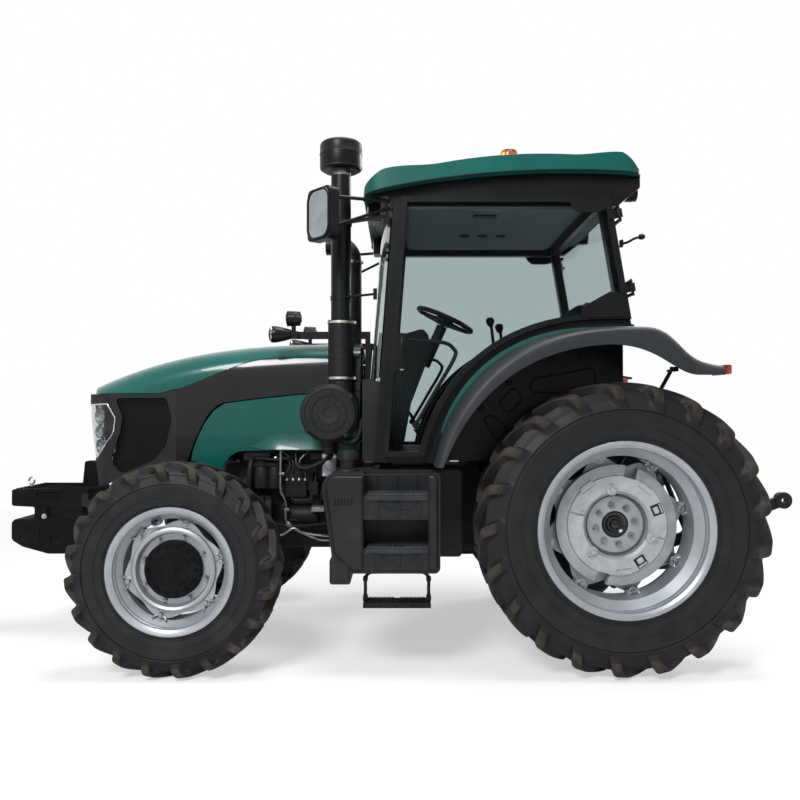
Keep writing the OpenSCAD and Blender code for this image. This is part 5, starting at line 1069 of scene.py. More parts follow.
# Columns that stand proud on both sides of the steps
for outline, radii in (
        ([(142, 556), (196, 556), (290, 644), (336, 985), (304, 1040), (142, 1040)], [10, 20, 20, 50, 40, 10]),
        (oblong(-242, -194, 556, 1040), [22, 8, 8, 24])):
    mouldings.append(sidePlate(rounded(outline, radii), 984.2, 1002, 9))
louvres = [roundBox((x, 1001.4, 890), (x + 9, 1003, 926), 0.8, 0.5) for x in range(196, 282, 17)]
piece("tank_louvres", both(louvres), "coreBlack")
piece("step_box_mouldings", both(mouldings), "mouldedBlack")
fx, fy = steps["filler"]
cap = [disc((fx, fy, 1116), zAxis, [(54, 0), (54, 3), (53, 6), (53, 40), (49, 47), (40, 48), (38, 44), (0, 44)], 40)]
cap += around(22, 0, lambda a: placed(roundBox((52, -3.2, 1122), (57, 3.2, 1156), 1.5, 1),
                                      Matrix.Translation((fx, fy, 0)) @ Matrix.Rotation(a, 4, "Z")))
cap += [disc((fx, fy, 1058), zAxis, [(62, 0), (60, 8), (48, 14), (43, 16)], 36),
        roundBox((fx - 30, fy - 8, 1158), (fx + 30, fy + 8, 1166), 6, 2)]
piece("filler_cap", cap, "mouldedBlack")

hung = []
for x, inward in ((-198, 1), (133, -1)):
    foot = x + inward * 44
    hung.append(pipe([(foot, 902, 536), (x + inward * 12, 902, 520), (x, 902, 494), (x, 902, 440),
                      (x - inward * 3, 902, 380)], 9, 5))
    hung += [roundBox((x - 12, 880, low), (x + 12, 924, high), 4, 2) for low, high in ((486, 508), (384, 412))]
    for z in (497, 398):
        hung += [boltHead((x, 924, z), yAxis, 17, 9), boltHead((x, 880, z), minusY, 17, 9)]
    hung.append(roundBox((foot - 24, 876, 526), (foot + 24, 928, 537.4), 6, 2))
hung += [roundBox((-208, y, 357), (143, y + 7, 383), 2, 1.5) for y in (838, 866, 912, 940, 962)]
hung += [roundBox((x, 838, 358), (x + 9, 969, 380), 2, 1.5) for x in (-208, -120, -36, 50, 134)]
hung += [disc((x, y, 382), zAxis, [(6.4, 0), (4.4, 6), (2.2, 6.5), (0, 4)], 6)
         for y in (841.5, 915.5, 965.5) for x in np.arange(-190, 130, steps["toothMm"]) if not -50 < x < -16]
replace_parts(piece("hung_steps", both(hung), "frameBlack"), "hanging_steps")
print("steps and tank detailed")


# Front weights: lifting eye, bolts, the joints between the plates and their cast edges

weights = {"count": 8, "thick": 48, "side": 191}
eye = [ring((2266, 40, 938), (0.35, 1, 0), 21, 6.5, 32, 10),
       disc((2266, 40, 902), zAxis, [(17, 0), (17, 9), (11, 12), (11, 18), (0, 18)], 20),
       boltHead((2122, 191.6, 734), yAxis, 20, 12), boltHead((2122, -191.6, 734), minusY, 20, 12),
       pipe([(2262, 62, 912), (2254, 92, 908), (2246, 118, 912), (2262, 126, 918)], 3, 5, 8)]
piece("weight_lifting_eye", eye, "zincPlate")
castLines = []
for k in range(weights["count"] + 1):
    y = weights["thick"] * (k - weights["count"] / 2)
    castLines.append(roundBox((1880, y - 1.2, 903), (2290, y + 1.2, 907), 1, 0.8))
castSides = [hoop([(x, weights["side"], z) for x, z in rounded(outline, radius)], thick, 6)
             for outline, radius, thick in (([(1905, 616), (2090, 616), (2090, 560), (1925, 560)], 14, 3),
                                            (oblong(2096, 2148, 700, 800), 10, 3.5))]
castSides.append(sidePlate(rounded([(1880, 700), (1990, 720), (1990, 770), (1880, 760)], 8), 190, 200, 3))
piece("weight_castings", castLines + both(castSides), "castBlack")


# Engine dress: filters, pump, pipes and hoses on both sides

engine = {"injectors": 4, "injectorPitch": 90, "pumpPitch": 36, "filters": (770, 690), "oilFilters": (720, 610),
          "runners": (430, 530, 630, 730)}
dark, cast, lines, zinc = [], [], [], []
for x in engine["filters"]:
    dark.append(disc((x, 335, 910), zAxis, [(30, 0), (44, 10), (46, 30), (46, 130), (40, 142), (0, 142)], 28))
    cast.append(disc((x, 335, 1052), zAxis, [(50, 0), (50, 14), (36, 22), (20, 40), (0, 40)], 28))
    zinc.append(boltHead((x, 335, 1092), zAxis, 20, 12))
cast += [roundBox((640, 252, 1046), (815, 372, 1068), 8, 3), roundBox((500, 252, 862), (640, 352, 962), 14, 6),
         disc((640, 302, 912), xAxis, [(46, 0), (46, 40), (30, 48), (30, 70), (0, 70)], 28)]
cast += [boltHead((520 + 33 * k, 352, z), yAxis, 13, 8) for k in range(4) for z in (878, 946)]
# Injector pipes, each with its union nuts
for k in range(engine["injectors"]):
    x, head = 515 + engine["pumpPitch"] * k, 480 + engine["injectorPitch"] * k
    lines.append(pipe([(x, 330, 958), (x, 340, 1010), (x + 30 - 14 * k, 352, 1080), (head, 330, 1150),
                       (head, 250, 1178)], 4.5, 8, 8))
    zinc += [boltHead((x, 330, 956), zAxis, 17, 20, False),
             boltHead((head, 262, 1176), (0, -0.6, 0.3), 17, 20, False)]
# Starter, alternator and their cables
alternator = (700, 330, 800)
dark += [disc((440, 318, 760), xAxis, [(30, -8), (56, 0), (58, 14), (58, 190), (50, 204), (20, 214), (0, 214)]),
         disc((470, 318, 842), xAxis, [(24, 0), (27, 6), (27, 110), (20, 118), (0, 118)], 24)]
zinc += [boltHead((590, 318, 842), xAxis, 14, 12), boltHead((590, 330, 860), xAxis, 10, 10)]
cast.append(disc(alternator, xAxis, [(20, 0), (62, 8), (68, 20), (68, 90), (60, 102), (20, 112), (0, 112)]))
cast += around(14, 0, lambda a: placed(roundBox((66, -4, 24), (72, 4, 86), 1.5, 1), aimed(alternator, xAxis, a)))
# Pale steel coolant and brake pipes that drop to the chassis
lines += [pipe([(650, 400, 1147), (650, 402, 1020), (648, 402, 913), (620, 402, 842), (620, 402, 784),
                (612, 400, 725), (556, 398, 678), (480, 392, 655), (380, 380, 643), (300, 360, 640)], 8),
          pipe([(700, 396, 648), (640, 400, 652), (575, 402, 690), (520, 398, 662), (420, 388, 622),
                (300, 366, 616)], 7)]
zinc += [clamp((650, 402, 1010), zAxis, 9, 12), clamp((620, 402, 800), zAxis, 9, 12),
         boltHead((612, 400, 722), (-0.7, 0, -0.7), 24, 26, False)]
bare = [roundBox((318, 372, 992), (408, 428, 1128), 12, 5),
        disc((362, 428, 1060), yAxis, [(30, 0), (30, 10), (18, 14), (0, 14)], 24),
        roundBox((392, 240, 788), (470, 424, 816), 6, 3)]
zinc += [boltHead((x, 428, z), yAxis, 13, 8) for x in (332, 394) for z in (1006, 1112)]
hoses = [([(560, 400, 1072), (530, 415, 1042), (465, 424, 1050), (372, 428, 1098), (352, 470, 1130)], 16),
         ([(820, 300, 1120), (838, 345, 1040), (842, 350, 900), (800, 340, 760), (720, 330, 690)], 20),
         ([(860, 230, 1010), (872, 300, 960), (868, 330, 860), (850, 300, 740)], 26),
         ([(430, 300, 1130), (440, 350, 1040), (455, 372, 930), (460, 360, 850)], 9),
         ([(760, 385, 880), (740, 392, 800), (700, 388, 726), (600, 372, 700), (480, 350, 700), (330, 330, 720)], 11),
         ([(560, 330, 1110), (600, 372, 1100), (680, 384, 1090), (800, 360, 1096)], 8),
         ([(590, 318, 842), (620, 360, 850), (640, 378, 800), (610, 372, 740), (480, 350, 730)], 7)]
dark += [pipe(path, r) for path, r in hoses]
dark += [roundBox((440, 340, 1010), (500, 372, 1060), 6, 3), roundBox((430, 360, 880), (470, 392, 960), 6, 3),
         roundBox((820, 300, 1080), (880, 350, 1130), 8, 4), roundBox((560, 252, 700), (650, 300, 740), 8, 4)]
# The exhaust side: manifold runners, turbocharger and its pipes
hot = [pipe([(x, -210, 1240), (x, -260, 1236), (x - 20, -292, 1206), (x - 60, -300, 1190)], 26, 6, 16)
       for x in engine["runners"]]
hot += [tube([(340, -300, 1190), (760, -300, 1190)], 34, 20),
        disc((420, -290, 1262), xAxis, [(30, -60), (60, -50), (70, -20), (66, 4), (30, 14), (24, 40), (56, 54),
                                        (62, 80), (40, 104), (0, 108)])]
dark += [disc((x, -335, 800), zAxis, [(30, 0), (46, 10), (48, 30), (48, 150), (40, 162), (0, 162)], 28)
         for x in engine["oilFilters"]]
dark += [pipe([(526, -290, 1262), (600, -300, 1290), (700, -290, 1318), (800, -240, 1326)], 32, 8, 20),
         pipe([(400, -300, 1180), (380, -340, 1060), (420, -338, 900), (500, -320, 760)], 10)]
cast.append(roundBox((560, -352, 955), (780, -252, 985), 8, 4))
for name, shapes, finish in (
        ("engine_hoses", dark, "hoseRubber"), ("engine_castings", cast, "castingPaint"),
        ("fuel_filter_head", bare, "diecast"), ("engine_pipes", lines, "bareSteel"),
        ("engine_fasteners", zinc, "zincPlate"), ("exhaust_manifold", hot, "castingPaint")):
    piece(name, shapes, finish)
print("engine dressed")


# Fenders: flares, the painted strip above them and the liner's pockets. The flares keep the lines of the CAD
# piece, with the shoulder between top and lip rounded as it is moulded; f runs from front to rear

flares = {"centre": (-1205, 765), "reach": (1003, 1050), "power": 2.35, "inY": 641, "outY": 1059.5, "shoulder": 120,
          "wall": 14, "lip": 100, "archEnd": 0.56, "tailFrom": 0.6, "foot": 14.3, "turnMm": 62,
          "tail": [(-1318, 1813), (-1505, 1813), (-1475, 1637), (-1699, 1617)],
          "lipTail": [(-1375, 1715), (-1430, 1570), (-1565, 1558)], "lipEnd": (-1699, 1558)}
pocketOutlines = ([(-772, 1482), (-800, 1556), (-1150, 1622), (-1150, 1470)],
                  [(-516, 1330), (-560, 1352), (-640, 1300), (-640, 1206), (-600, 1196)],
                  [(-600, 1420), (-700, 1520), (-740, 1440), (-660, 1360)],
                  [(-780, 1400), (-1150, 1400), (-1150, 1180), (-700, 1180)])


def archPoint(grow, degrees):
    c, s = polar(1, math.radians(degrees))
    (x, z), (long, high), power = flares["centre"], flares["reach"], 2 / flares["power"]
    return Vector((x + math.copysign(1, c) * (long + grow) * abs(c) ** power, z + (high + grow) * abs(s) ** power))


def bezier(points, q):
    a, b, c, d = (Vector(v) for v in points)
    r = 1 - q
    return r ** 3 * a + 3 * r * r * q * b + 3 * r * q * q * c + q ** 3 * d


def flareUpper(f):
    end, tail = flares["archEnd"], flares["tailFrom"]
    if f <= end:
        return archPoint(0, flares["foot"] + (90 - flares["foot"]) * f / end)
    if f <= tail:
        return archPoint(0, 90).lerp(Vector(flares["tail"][0]), (f - end) / (tail - end))
    return bezier(flares["tail"], (f - tail) / (1 - tail))


def flareLower(f):
    tail = flares["tailFrom"]
    if f <= tail:
        g = 1 - f / tail
        return archPoint(-flares["lip"] * (1 - 0.62 * g ** 3), 86 - 71 * g)
    q = (f - tail) / (1 - tail)
    if q <= 0.75:
        return bezier([archPoint(-flares["lip"], 86)] + flares["lipTail"], q / 0.75)
    return Vector(flares["lipTail"][-1]).lerp(Vector(flares["lipEnd"]), (q - 0.75) / 0.25)


flareGrids = [[], []]
for k in range(97):
    top, low = flareUpper(k / 96), flareLower(k / 96)
    depth, down = (low - top).length, (low - top).normalized()
    turn = min(0.62 * depth, flares["turnMm"])
    outer = [(top.x, y, top.y) for y in (flares["inY"], 760, 860, flares["outY"] - flares["shoulder"])]
    for j in range(1, 9):
        a = math.pi / 2 * j / 8
        q = top + down * turn * (1 - math.cos(a))
        outer.append((q.x, flares["outY"] - flares["shoulder"] * (1 - math.sin(a)), q.y))
    outer += [(q.x, flares["outY"], q.y) for q in (top + down * (turn + (depth - turn) * g) for g in (0.5, 0.96, 1.0))]
    inner = []
    for j, (x, y, z) in enumerate(outer):
        share = unit((j - 3) / 8)
        step = down * flares["wall"] * (1 - share)
        inner.append((x + step.x, y - flares["wall"] * share, z + step.y))
    for grid, line in zip(flareGrids, (outer, inner)):
        grid.append([(x, -y, z) for x, y, z in line])
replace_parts(piece("flare_skins", both([loft(*flareGrids)]), "flareGrey", sharp=50), "fender_flares")
stripTurns = np.linspace(24, 88, 48)
strip = [archPoint(2 + 24 * math.sin(math.pi * min(1, max(0.04, (t - 22) / 68))) ** 0.5, t) for t in stripTurns]
strip += [archPoint(1.5, t) for t in stripTurns[::-1]]
piece("fender_strips", both([sidePlate(strip, 799.6, 803, 0.8)]), "tealEnamel")
pocketShadeAndLinerMouldings = [hoop([(x, 577, z) for x, z in rounded(outline, 26)], 4.5) for outline in pocketOutlines]
pocketShadeAndLinerMouldings += [roundBox((x - 18, 575, z - 12), (x + 18, 592, z + 12), 4, 3)
            for x, z in ((-905, 1662), (-665, 1534), (-505, 1392), (-1080, 1690))]
for t in (30, 44, 58, 72, 85):
    x, z = archPoint(-26, t)
    c, s = polar(1, math.radians(t))
    pocketShadeAndLinerMouldings.append(boltHead((x, 640, z), (-c, 0, -s), 16, 7))
piece("fender_liner_mouldings", both(pocketShadeAndLinerMouldings), "hoseRubber")


# Mirrors, indicators, work lamps and the beacon's foot

mirror = {"at": (362, 850, 2423), "turn": 40, "half": 30, "glass": (180, 248, 58), "rim": (192, 260, 62)}
lampSpots = {"indicator": (454, 1820), "frontLamp": (444, 1912), "rearLamp": (600, 2606), "oblong": (495, 2502)}
c, s = polar(1, math.radians(mirror["turn"]))
mirrorFrame = Matrix.Translation(mirror["at"]) @ Matrix(((-s, 0, c, 0), (c, 0, s, 0), (0, 1, 0, 0), (0, 0, 0, 1)))
half = mirror["half"]
silvered = plate(roundOutline(*mirror["glass"], 8), half + 0.4, half + 3.4, 1)
rims = [hoop([(x, y, half + 2) for x, y in roundOutline(*mirror["rim"], 8)], 8)]
rims += [plate(roundOutline(188 - 26 * k, 256 - 26 * k, 30, 8), -half - 6 * (k + 1), -half - 6 * k, 2.5)
         for k in range(3)]
piece("mirror_glass", both([placed(silvered, mirrorFrame)]), "mirrorSilver")
piece("mirror_rims", both([placed(shape, mirrorFrame) for shape in rims]), "frameBlack")

spot = lampSpots["indicator"]
amber = [disc((690, *spot), xAxis, [(45, 0), (45, 6), (41, 14), (30, 20), (14, 23), (0, 23.5)], 36)]
bright = [ring((694, *spot), xAxis, 46.5, 3, 40, 8)]
dark = [disc((612, *spot), minusX, [(34, -40), (30, 0), (22, 16), (16, 30), (16, 44)], 24)]
spot = lampSpots["frontLamp"]
dark += [disc((560, *spot), minusX, [(43.5, -6), (43.5, 4), (41, 16), (33, 28), (18, 36), (0, 38)]),
         ring((604, *spot), xAxis, 42, 4, 36, 8)]
clear = [disc((606, *spot), xAxis, [(39, 0), (37, 4), (26, 9), (10, 11), (0, 11.3)])]
dark += [disc((x, *spot), xAxis, [(42, 0), (45.5, 0.6), (45.5, 3.4), (42, 4)]) for x in (574, 584, 594)]
bright += [boltHead((x, 470, 1822), yAxis, 12, 7) for x in (250, 300)]
# Rear work lamps: finned backs, bezels and lenses; the front ones are oblong
spot = lampSpots["rearLamp"]
dark += [disc((x, *spot), xAxis, [(50, 0), (53, 0.8), (53, 4.2), (50, 5)], 36) for x in range(-1352, -1309, 14)]
bright.append(ring((-1375, *spot), xAxis, 46, 3.2, 40, 8))
clear.append(disc((-1374, *spot), minusX, [(44, 0), (43, 4), (30, 8), (12, 10), (0, 10.3)]))
spot = lampSpots["oblong"]
clear.append(shifted(frontPlate(roundOutline(118, 80, 10), 0, 4, 1.2), (131, *spot)))
bright.append(hoop([(134, spot[0] + y, spot[1] + z) for y, z in roundOutline(120, 82, 10)], 2.6, 6))
dark += [roundBox((x, 434, 2546), (x + 5, 556, 2556), 2, 1) for x in (74, 86, 98, 110)]
# Rear lamp bezels at the tips of the flares
lo, hi = [Vector(v) * 1000 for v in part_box("rear_lamps")]
wide, tall = 118, hi.z - lo.z - 8
dark.append(hoop([(lo.x - 0.5, hi.y - 2 - w, lo.z + 4 + h) for w, h in ((0, 0), (0, tall), (wide, tall), (wide, 0))],
                 2.4, 6))
for name, shapes, finish in (("indicator_lenses", amber, "amberLens"), ("lamp_lenses", clear, "lampGlass"),
                             ("lamp_bezels", bright, "chromeTrim"), ("lamp_backs", dark, "frameBlack")):
    piece(name, both(shapes), finish)
foot = [disc((*roof["beacon"], 2797), zAxis, [(66, 0), (70, 2), (70, 12), (66, 15), (60, 15)], 40)]
foot += [ring((*roof["beacon"], z), zAxis, r, 2.2, 40, 6) for z, r in ((2850, 54.6), (2832, 55.8))]
piece("beacon_foot", foot, "frameBlack")
print("mirrors and lamps drawn")


# Doors: grab rail, corner covers, handle and lock. They swing with their door

door = {"glassEdge": 796.2, "cover": 801, "handleX": -58}
inner = [pipe([(-62, 748, 1766), (-100, 742, 1762), (-280, 742, 1749), (-338, 742, 1716), (-346, 742, 1668),
               (-250, 742, 1500), (-170, 742, 1362), (-146, 742, 1322), (-138, 748, 1304)], 11, 6, 14),
         disc((-136, 750, 1300), minusY, [(22, 0), (22, 10), (16, 16), (0, 16)], 20),
         disc((door["handleX"], 752, 1766), minusY, [(20, 0), (20, 8), (14, 13), (0, 13)], 20)]
outer = [sidePlate(rounded(outline, radii), door["glassEdge"], door["cover"], 1.6) for outline, radii in (
    ([(-960, 2520), (-1172, 2520), (-1160, 2462), (-1120, 2448), (-1010, 2448), (-976, 2478)],
     [10, 10, 20, 20, 26, 20]),
    ([(-1030, 1936), (-1180, 2020), (-1256, 2012), (-1262, 1880), (-1030, 1876)], [8, 24, 12, 12, 8]))]
outer.append(sidePlate(rounded(oblong(-84, -30, 1586, 1796), 16), door["glassEdge"], 800, 1.5))
outer.append(pipe([(door["handleX"], y, z) for y, z in ((798, 1772), (822, 1756), (828, 1700), (822, 1640),
                                                        (798, 1618))], 9, 6))
plated = [disc((door["handleX"], 799, 1604), yAxis, [(11, 0), (11, 4), (8, 6), (3, 6), (3, 3), (0, 3)], 20)]
for side in ("left", "right"):
    for name, shapes, finish in (("rail", inner, "cabinGrey"), ("covers", outer, "frameBlack"),
                                 ("fasteners", plated, "zincPlate")):
        shapes = shapes if side == "left" else [mirrored(shape) for shape in shapes]
        piece(f"{side}_door_{name}", shapes, finish, f"{side}_door")
# Rear window: opening stay with its grip
latch = [pipe([(-1262, 690, 2300), (-1300, 692, 2305), (-1345, 694, 2328), (-1388, 694, 2338)], 7, 6, 10),
         disc((-1385, 694, 2338), (-1, 0, 0.1), [(14, -16), (16, -8), (16, 6), (10, 14), (0, 16)], 18),
         roundBox((-1280, 676, 2280), (-1262, 704, 2320), 4, 2)]
piece("rear_window_latch", latch, "frameBlack")
print("door fittings placed")


# Seat: suspension bellows, pan, and cushions blown up as cloth over foam

padSizes = {"voxel": 0.006, "pressure": 4.0, "frames": 20, "cap": 0.024, "grooveMm": 7.0}
seat = {"lean": 0.09, "leanFrom": 1530, "cushionSeam": 128, "cushionCross": -850, "backSeam": 124, "backCross": 1860}


def setPoints(mesh, points):
    mesh.vertices.foreach_set("co", points.ravel())
    mesh.update()


def softPad(name, shape, form, pinned, channels):
    pad = piece(name, [shape], "seatCloth", sharp=180)
    remesh = pad.modifiers.new("remesh", "REMESH")
    remesh.mode, remesh.voxel_size = "VOXEL", padSizes["voxel"]
    mesh = bpy.data.meshes.new_from_object(pad.evaluated_get(bpy.context.evaluated_depsgraph_get()))
    pad.modifiers.clear()
    pad.data = mesh
    flat = np.empty(len(mesh.vertices) * 3)
    mesh.vertices.foreach_get("co", flat)
    rest = form(flat.reshape(-1, 3) * 1000) / 1000
    setPoints(mesh, rest)
    pins = pad.vertex_groups.new(name="pins")
    pins.add([int(i) for i in np.nonzero(pinned(rest * 1000))[0]], 1.0, "REPLACE")
    cloth = pad.modifiers.new("cloth", "CLOTH")
    cloth.settings.use_pressure = True
    cloth.settings.uniform_pressure_force = padSizes["pressure"]
    cloth.settings.effector_weights.gravity = 0
    cloth.settings.vertex_group_mass = "pins"
    for step in range(1, padSizes["frames"] + 1):
        scene.frame_set(step)
    blown = pad.evaluated_get(bpy.context.evaluated_depsgraph_get()).data
    blown.vertices.foreach_get("co", flat)
    move = flat.reshape(-1, 3) - rest
    reach = np.linalg.norm(move, axis=1, keepdims=True)
    rest = rest + move * np.minimum(1, padSizes["cap"] / np.maximum(reach, 1e-9))
    pad.modifiers.clear()
    scene.frame_set(1)
    setPoints(mesh, rest)
    # Sewn channels pull the cover in
    mesh.vertices.foreach_get("normal", flat)
    rest = rest - flat.reshape(-1, 3) * channels(rest * 1000)[:, None] / 1000
    mesh.polygons.foreach_set("use_smooth", [True] * len(mesh.polygons))
    setPoints(mesh, rest)
    return pad


def grooves(y, along, seam):
    # Two seams along the pad, and one across between them
    width = padSizes["grooveMm"]
    across = np.abs(along) + 400 * (np.abs(y) > seam)
    return sum(width * np.exp(-(distance / width) ** 2) for distance in (np.abs(y) - seam, across))


def bolster(p):
    return np.clip((np.abs(p[:, 1]) - 110) / 70, 0, 1) ** 2


def upright(p):
    # X of the back rest before it leans
    return p[:, 0] + seat["lean"] * (p[:, 2] - seat["leanFrom"])


def cushionForm(p):
    top = np.clip((p[:, 2] - 1520) / 50, 0, 1)
    p[:, 2] += top * (16 * bolster(p) - 10 * np.clip((p[:, 0] + 700) / 60, 0, 1) ** 2)
    return p


def backForm(p):
    front = np.clip((p[:, 0] + 1120) / 40, 0, 1)
    lumbar = 14 * np.exp(-((p[:, 2] - 1690) / 90) ** 2)
    p[:, 0] += front * (18 * bolster(p) + lumbar) - seat["lean"] * (p[:, 2] - seat["leanFrom"])
    p[:, 1] *= 1 - 0.16 * np.clip((p[:, 2] - 1800) / 260, 0, 1) ** 2
    return p


cushion = softPad("seat_cushion", roundBox((-1036, -222, 1512), (-648, 222, 1584), 64, 24), cushionForm,
                  lambda p: p[:, 2] < 1522,
                  lambda p: (p[:, 2] > 1550) * grooves(p[:, 1], p[:, 0] - seat["cushionCross"], seat["cushionSeam"]))
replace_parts(cushion, "seat")
softPad("seat_back", shifted(frontPlate(roundOutline(440, 470, 90, 8), 0, 74, 26), (-1150, 0, 1808)), backForm,
        lambda p: upright(p) < -1140,
        lambda p: (upright(p) > -1110) * grooves(p[:, 1], p[:, 2] - seat["backCross"], seat["backSeam"]))
shellOutline = [(y * (1 - 0.14 * max(0, z / 260)), z + 1800) for y, z in roundOutline(452, 500, 96, 8)]
shellPoints, shellFaces = frontPlate(shellOutline, -1176, -1152, 8)
pan = [([(x - seat["lean"] * (z - seat["leanFrom"]), y, z) for x, y, z in shellPoints], shellFaces),
       roundBox((-1062, -236, 1488), (-640, 236, 1513), 60, 8),
       roundBox((-1172, -150, 1490), (-1050, 150, 1512), 20, 6)]
cheek = rounded([(-1166, 1492), (-1060, 1492), (-1080, 1560), (-1170, 1620)], 14)
pan += [sidePlate(cheek, y, y + 16, 4) for y in (120, -136)]
bellows = []
for k in range(10):
    fold = 26 * (k % 2)
    bellows.append(shifted(plate(roundOutline(312 - fold, 332 - fold, 44), 1374 + 11 * k, 1385.5 + 11 * k, 4),
                           (-865, 0, 0)))
piece("seat_frame", pan, "cabinGrey")
piece("seat_bellows", bellows, "hoseRubber")
print("seat simulated")


# Dash, steering wheel pad, lever knobs, pedals and floor mat

dash = {"at": (-221, 0, 1820), "aim": (-0.923, 0, 0.385), "dials": ((-98, 38), (0, 44), (98, 38)), "ticks": 11,
        "tickTurn": 26, "wheelAt": (-333, 0, 1953), "wheelTilt": 24}
levers = {"at": ((-665, -380, 1985), (-735, -450, 1950)), "aim": (0.12, 0, 1), "bootZ": 1668}
dashFace = aimed(dash["at"], dash["aim"])
panel = [placed(plate(roundOutline(330, 104, 16), 0.2, 5, 1.5), dashFace)]
dials, ticks = [], []
for y, r in dash["dials"]:
    at = dashFace @ Matrix.Translation((y, 0, 5))
    dials.append(placed(turned([(r - 3, 0), (r + 2, 0), (r + 2, 5), (r - 1, 7), (r - 3, 5), (r - 3, 0)]), at))
    panel.append(placed(turned([(r - 3, 0), (r - 3, 1.5), (0, 1.5)], 28), at))
    mark = roundBox((r - 13, -1, 1.4), (r - 6, 1, 2.4), 0.8, 0.4)
    needle = roundBox((-6, -1.2, 2.2), (r - 12, 1.2, 3.4), 1, 0.5)
    turns = [(mark, dash["tickTurn"] * (k - dash["ticks"] // 2)) for k in range(dash["ticks"])]
    ticks += [placed(shape, at @ Matrix.Rotation(math.radians(t), 4, "Z")) for shape, t in turns + [(needle, 50 + y)]]
piece("instrument_panel", panel, "mouldedBlack")
piece("instrument_rims", dials, "chromeTrim")
piece("instrument_ticks", ticks, "linerFelt")
spoke = plate([(46, -20), (176, -11), (176, 11), (46, 20)], -4, 3, 2)
pad = [turned([(52, -2), (56, 4), (52, 12), (36, 17), (0, 19)])]
pad += [placed(spoke, Matrix.Rotation(math.radians(t), 4, "Z")) for t in (90, 210, 330)]
wheelFrame = Matrix.Translation(dash["wheelAt"]) @ turnY(dash["wheelTilt"])
piece("steering_wheel_pad", [placed(shape, wheelFrame) for shape in pad], "cabinGrey", "steering_wheel")
knobs = [disc((x, y, z - 34), levers["aim"], [(13, 0), (20, 8), (28, 30), (28.5, 44), (22, 58), (0, 64)], 28)
         for x, y, z in levers["at"]]
boots = [disc((x - 40, y, levers["bootZ"]), levers["aim"],
              [(46, 0), (42, 14), (36, 16), (34, 30), (27, 32), (24, 46), (14, 52)], 28) for x, y, z in levers["at"]]
boots += [roundBox((x, -500, 1664), (x + 40, -370, 1678), 6, 3) for x in range(-1040, -829, 70)]
boots.append(roundBox((-1070, -536, 1376), (-600, -532, 1640), 3, 1.5))
piece("lever_knobs", knobs, "hoseRubber")
piece("lever_boots", boots, "mouldedBlack")
pedals = []
for y in (-150, -60, 130):
    pedals += [pipe([(-40, y, 1420), (-110, y, 1360), (-150, y, 1280), (-160, y, 1240)], 9, 5, 10),
               placed(plate(roundOutline(70, 84, 10), -6, 6, 3), aimed((-163, y, 1226), (-0.8, 0, 0.6)))]
mat = [roundBox((-460, -560, 1136), (40, 560, 1141), 40, 2)]
mat += [roundBox((x, -540, 1140.5), (x + 10, 540, 1143.5), 4, 1) for x in range(-450, 1, 30)]
piece("pedals", pedals, "frameBlack")
piece("floor_mat", mat, "hoseRubber")
print("cab fitted out")


# Rear: valve couplings, splines and bolts of the power take-off, and the hitch pin with its ring

takeOff = {"z": 660, "splines": 6, "faceX": -1495.5, "boltR": 88, "bolts": (0.5, 2.64, 3.9, 5.5)}
couplings = {"count": 6, "first": -140, "pitch": 56, "aim": (-1, 0, -0.15)}
spline = roundBox((16, -5, -1589), (24, 5, -1497), 2, 1)
rearSteel = around(takeOff["splines"], 0, lambda t: placed(
    spline, Matrix.Translation((0, 0, takeOff["z"])) @ facing @ Matrix.Rotation(t, 4, "Z")))
rearBlack = [roundBox((-1442, -168, 1056), (-1346, 168, 1138), 10, 5),
             roundBox((-1440, -120, 1136), (-1360, 120, 1160), 8, 4)]
for k in range(couplings["count"]):
    y = couplings["first"] + couplings["pitch"] * k
    rearSteel.append(disc((-1442, y, 1098), couplings["aim"],
                          [(21, -6), (21, 10), (17, 12), (17, 30), (14, 33), (14, 40)], 24))
    rearBlack.append(disc((-1482, y, 1092), couplings["aim"], [(16, -2), (19, 2), (19, 16), (12, 20), (0, 20)], 20))
rearZinc = [boltHead((takeOff["faceX"], y, z), minusX, 22, 12) for y in (-165, -90, 90, 165) for z in (580, 790)]
for y, z in (polar(takeOff["boltR"], t) for t in takeOff["bolts"]):
    rearZinc.append(boltHead((takeOff["faceX"], y, takeOff["z"] + z), minusX, 15, 9))
rearSteel.append(tube([(-1545, -74, 830), (-1545, 74, 830)], 13, 16))
rearZinc.append(ring((-1545, 78, 830), (0.3, 1, 0), 16, 2.6, 24, 6))
piece("take_off_splines", rearSteel, "bareSteel")
piece("valve_couplings", rearBlack, "frameBlack")
piece("rear_fasteners", rearZinc, "zincPlate")
# Bolts of the front axle's carrier and of the side rails
axleBolts = [boltHead((axles["front"][0] + dx, dy, 715), zAxis, 22, 12) for dx in (-70, 70) for dy in (-60, 60)]
axleBolts += [boltHead((x, s * 240, z), (0, s, 0), 22, 12)
              for x in (1500, 1600, 1720) for z in (770, 850) for s in (-1, 1)]
piece("frame_bolts", axleBolts, "zincPlate")
fins = [roundBox((1423, y, 920), (1430, y + 6, 1470), 1, 0.8) for y in range(-280, 267, 14)]
piece("radiator_fins", fins, "diecast")
print("rear fittings placed")


# Stage, light and camera

stage = {"floorHalf": 40.0, "floor": "#e9eaea", "floorRough": 0.9, "whiteShare": 0.5, "whiteFrom": 2.8,
         "whiteBy": 9.0, "ambient": 0.3}
lamps = {
    "keyLamp": {"at": (2.5, 6.5, 6.0), "aim": (0, 0, 1.2), "size": 3.0, "watts": 680},
    "topLamp": {"at": (-1.0, 0.5, 7.5), "aim": (0, 0, 1.0), "size": 4.0, "watts": 560},
    "rearLamp": {"at": (-5.0, -5.5, 4.5), "aim": (0, 0, 1.2), "size": 4.0, "watts": 320},
}
shot = {"at": (-0.048, 5.283, 1.370), "lift": 0.82, "lens": 37.5, "sensor": 36.0, "reach": 200.0}


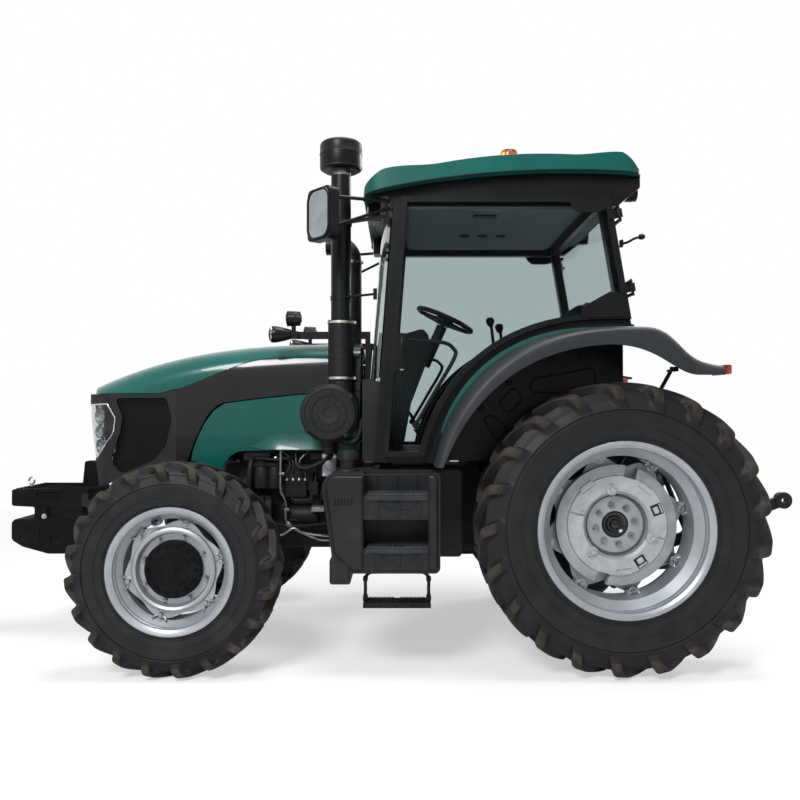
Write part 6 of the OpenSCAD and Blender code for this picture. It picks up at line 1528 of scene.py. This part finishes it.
def seenRays(tree, names):
    # 1 for rays of any of the kinds named
    rays = addNode(tree, "LightPath")
    seen = rays.outputs[names[0]]
    for name in names[1:]:
        seen = addNode(tree, "Math", {0: seen, 1: rays.outputs[name]}, operation="MAXIMUM").outputs[0]
    return seen


floorMesh = bpy.data.meshes.new("floor")
h = stage["floorHalf"]
floorMesh.from_pydata([(x, y, 0) for x, y in oblong(-h, h, -h, h)], [], [(0, 1, 2, 3)])
floor = bpy.data.objects.new("floor", floorMesh)
scene.collection.objects.link(floor)
# Painted studio floor: a pale even ground that keeps the shadow
floorPaint, tree, shader, output = newMaterial("floorPaint")
shader.inputs["Base Color"].default_value = hexColour(stage["floor"])
shader.inputs["Roughness"].default_value = stage["floorRough"]
# The ground pales to white away from the shadow, so that no horizon shows
seen = seenRays(tree, ("Is Camera Ray", "Is Transmission Ray"))
place = addNode(tree, "NewGeometry").outputs["Position"]
reach = addNode(tree, "VectorMath", {0: place}, operation="LENGTH")
pale = addNode(tree, "MapRange", {"Value": reach.outputs["Value"], "From Min": stage["whiteFrom"],
                                  "From Max": stage["whiteBy"], "To Min": stage["whiteShare"], "To Max": 1.0})
share = addNode(tree, "Math", {0: seen, 1: pale.outputs[0]}, operation="MULTIPLY")
glow = addNode(tree, "Emission", {"Color": (1, 1, 1, 1), "Strength": 1.0})
mix = addNode(tree, "MixShader", {0: share.outputs[0], 1: shader.outputs[0], 2: glow.outputs[0]})
tree.links.new(mix.outputs[0], output.inputs["Surface"])
floorMesh.materials.append(floorPaint)

# White surroundings for what is seen, mirrored or looked through, and a weaker light from them
world = bpy.data.worlds.new("studio")
scene.world = world
world.use_nodes = True
tree = world.node_tree
tree.nodes.clear()
seen = seenRays(tree, ("Is Camera Ray", "Is Transmission Ray", "Is Glossy Ray"))
strength = addNode(tree, "MapRange", {"Value": seen, "To Min": stage["ambient"], "To Max": 1.0})
white = addNode(tree, "Background", {"Color": (1, 1, 1, 1), "Strength": strength.outputs[0]})
addNode(tree, "OutputWorld", {"Surface": white.outputs[0]})

for name, lamp in lamps.items():
    light = bpy.data.lights.new(name, "AREA")
    light.shape = "DISK"
    light.size = lamp["size"]
    light.energy = lamp["watts"]
    thing = bpy.data.objects.new(name, light)
    thing.location = lamp["at"]
    thing.rotation_euler = (Vector(lamp["aim"]) - Vector(lamp["at"])).to_track_quat("-Z", "Y").to_euler()
    scene.collection.objects.link(thing)

cameraData = bpy.data.cameras.new("camera")
cameraData.lens = shot["lens"]
cameraData.sensor_width = shot["sensor"]
cameraData.clip_end = shot["reach"]
camera = bpy.data.objects.new("camera", cameraData)
camera.location = shot["at"]
camera.rotation_euler = (math.radians(90 + shot["lift"]), 0, math.radians(180))
scene.collection.objects.link(camera)
scene.camera = camera
scene.view_settings.view_transform = "Standard"
print("stage, lamps and camera set")
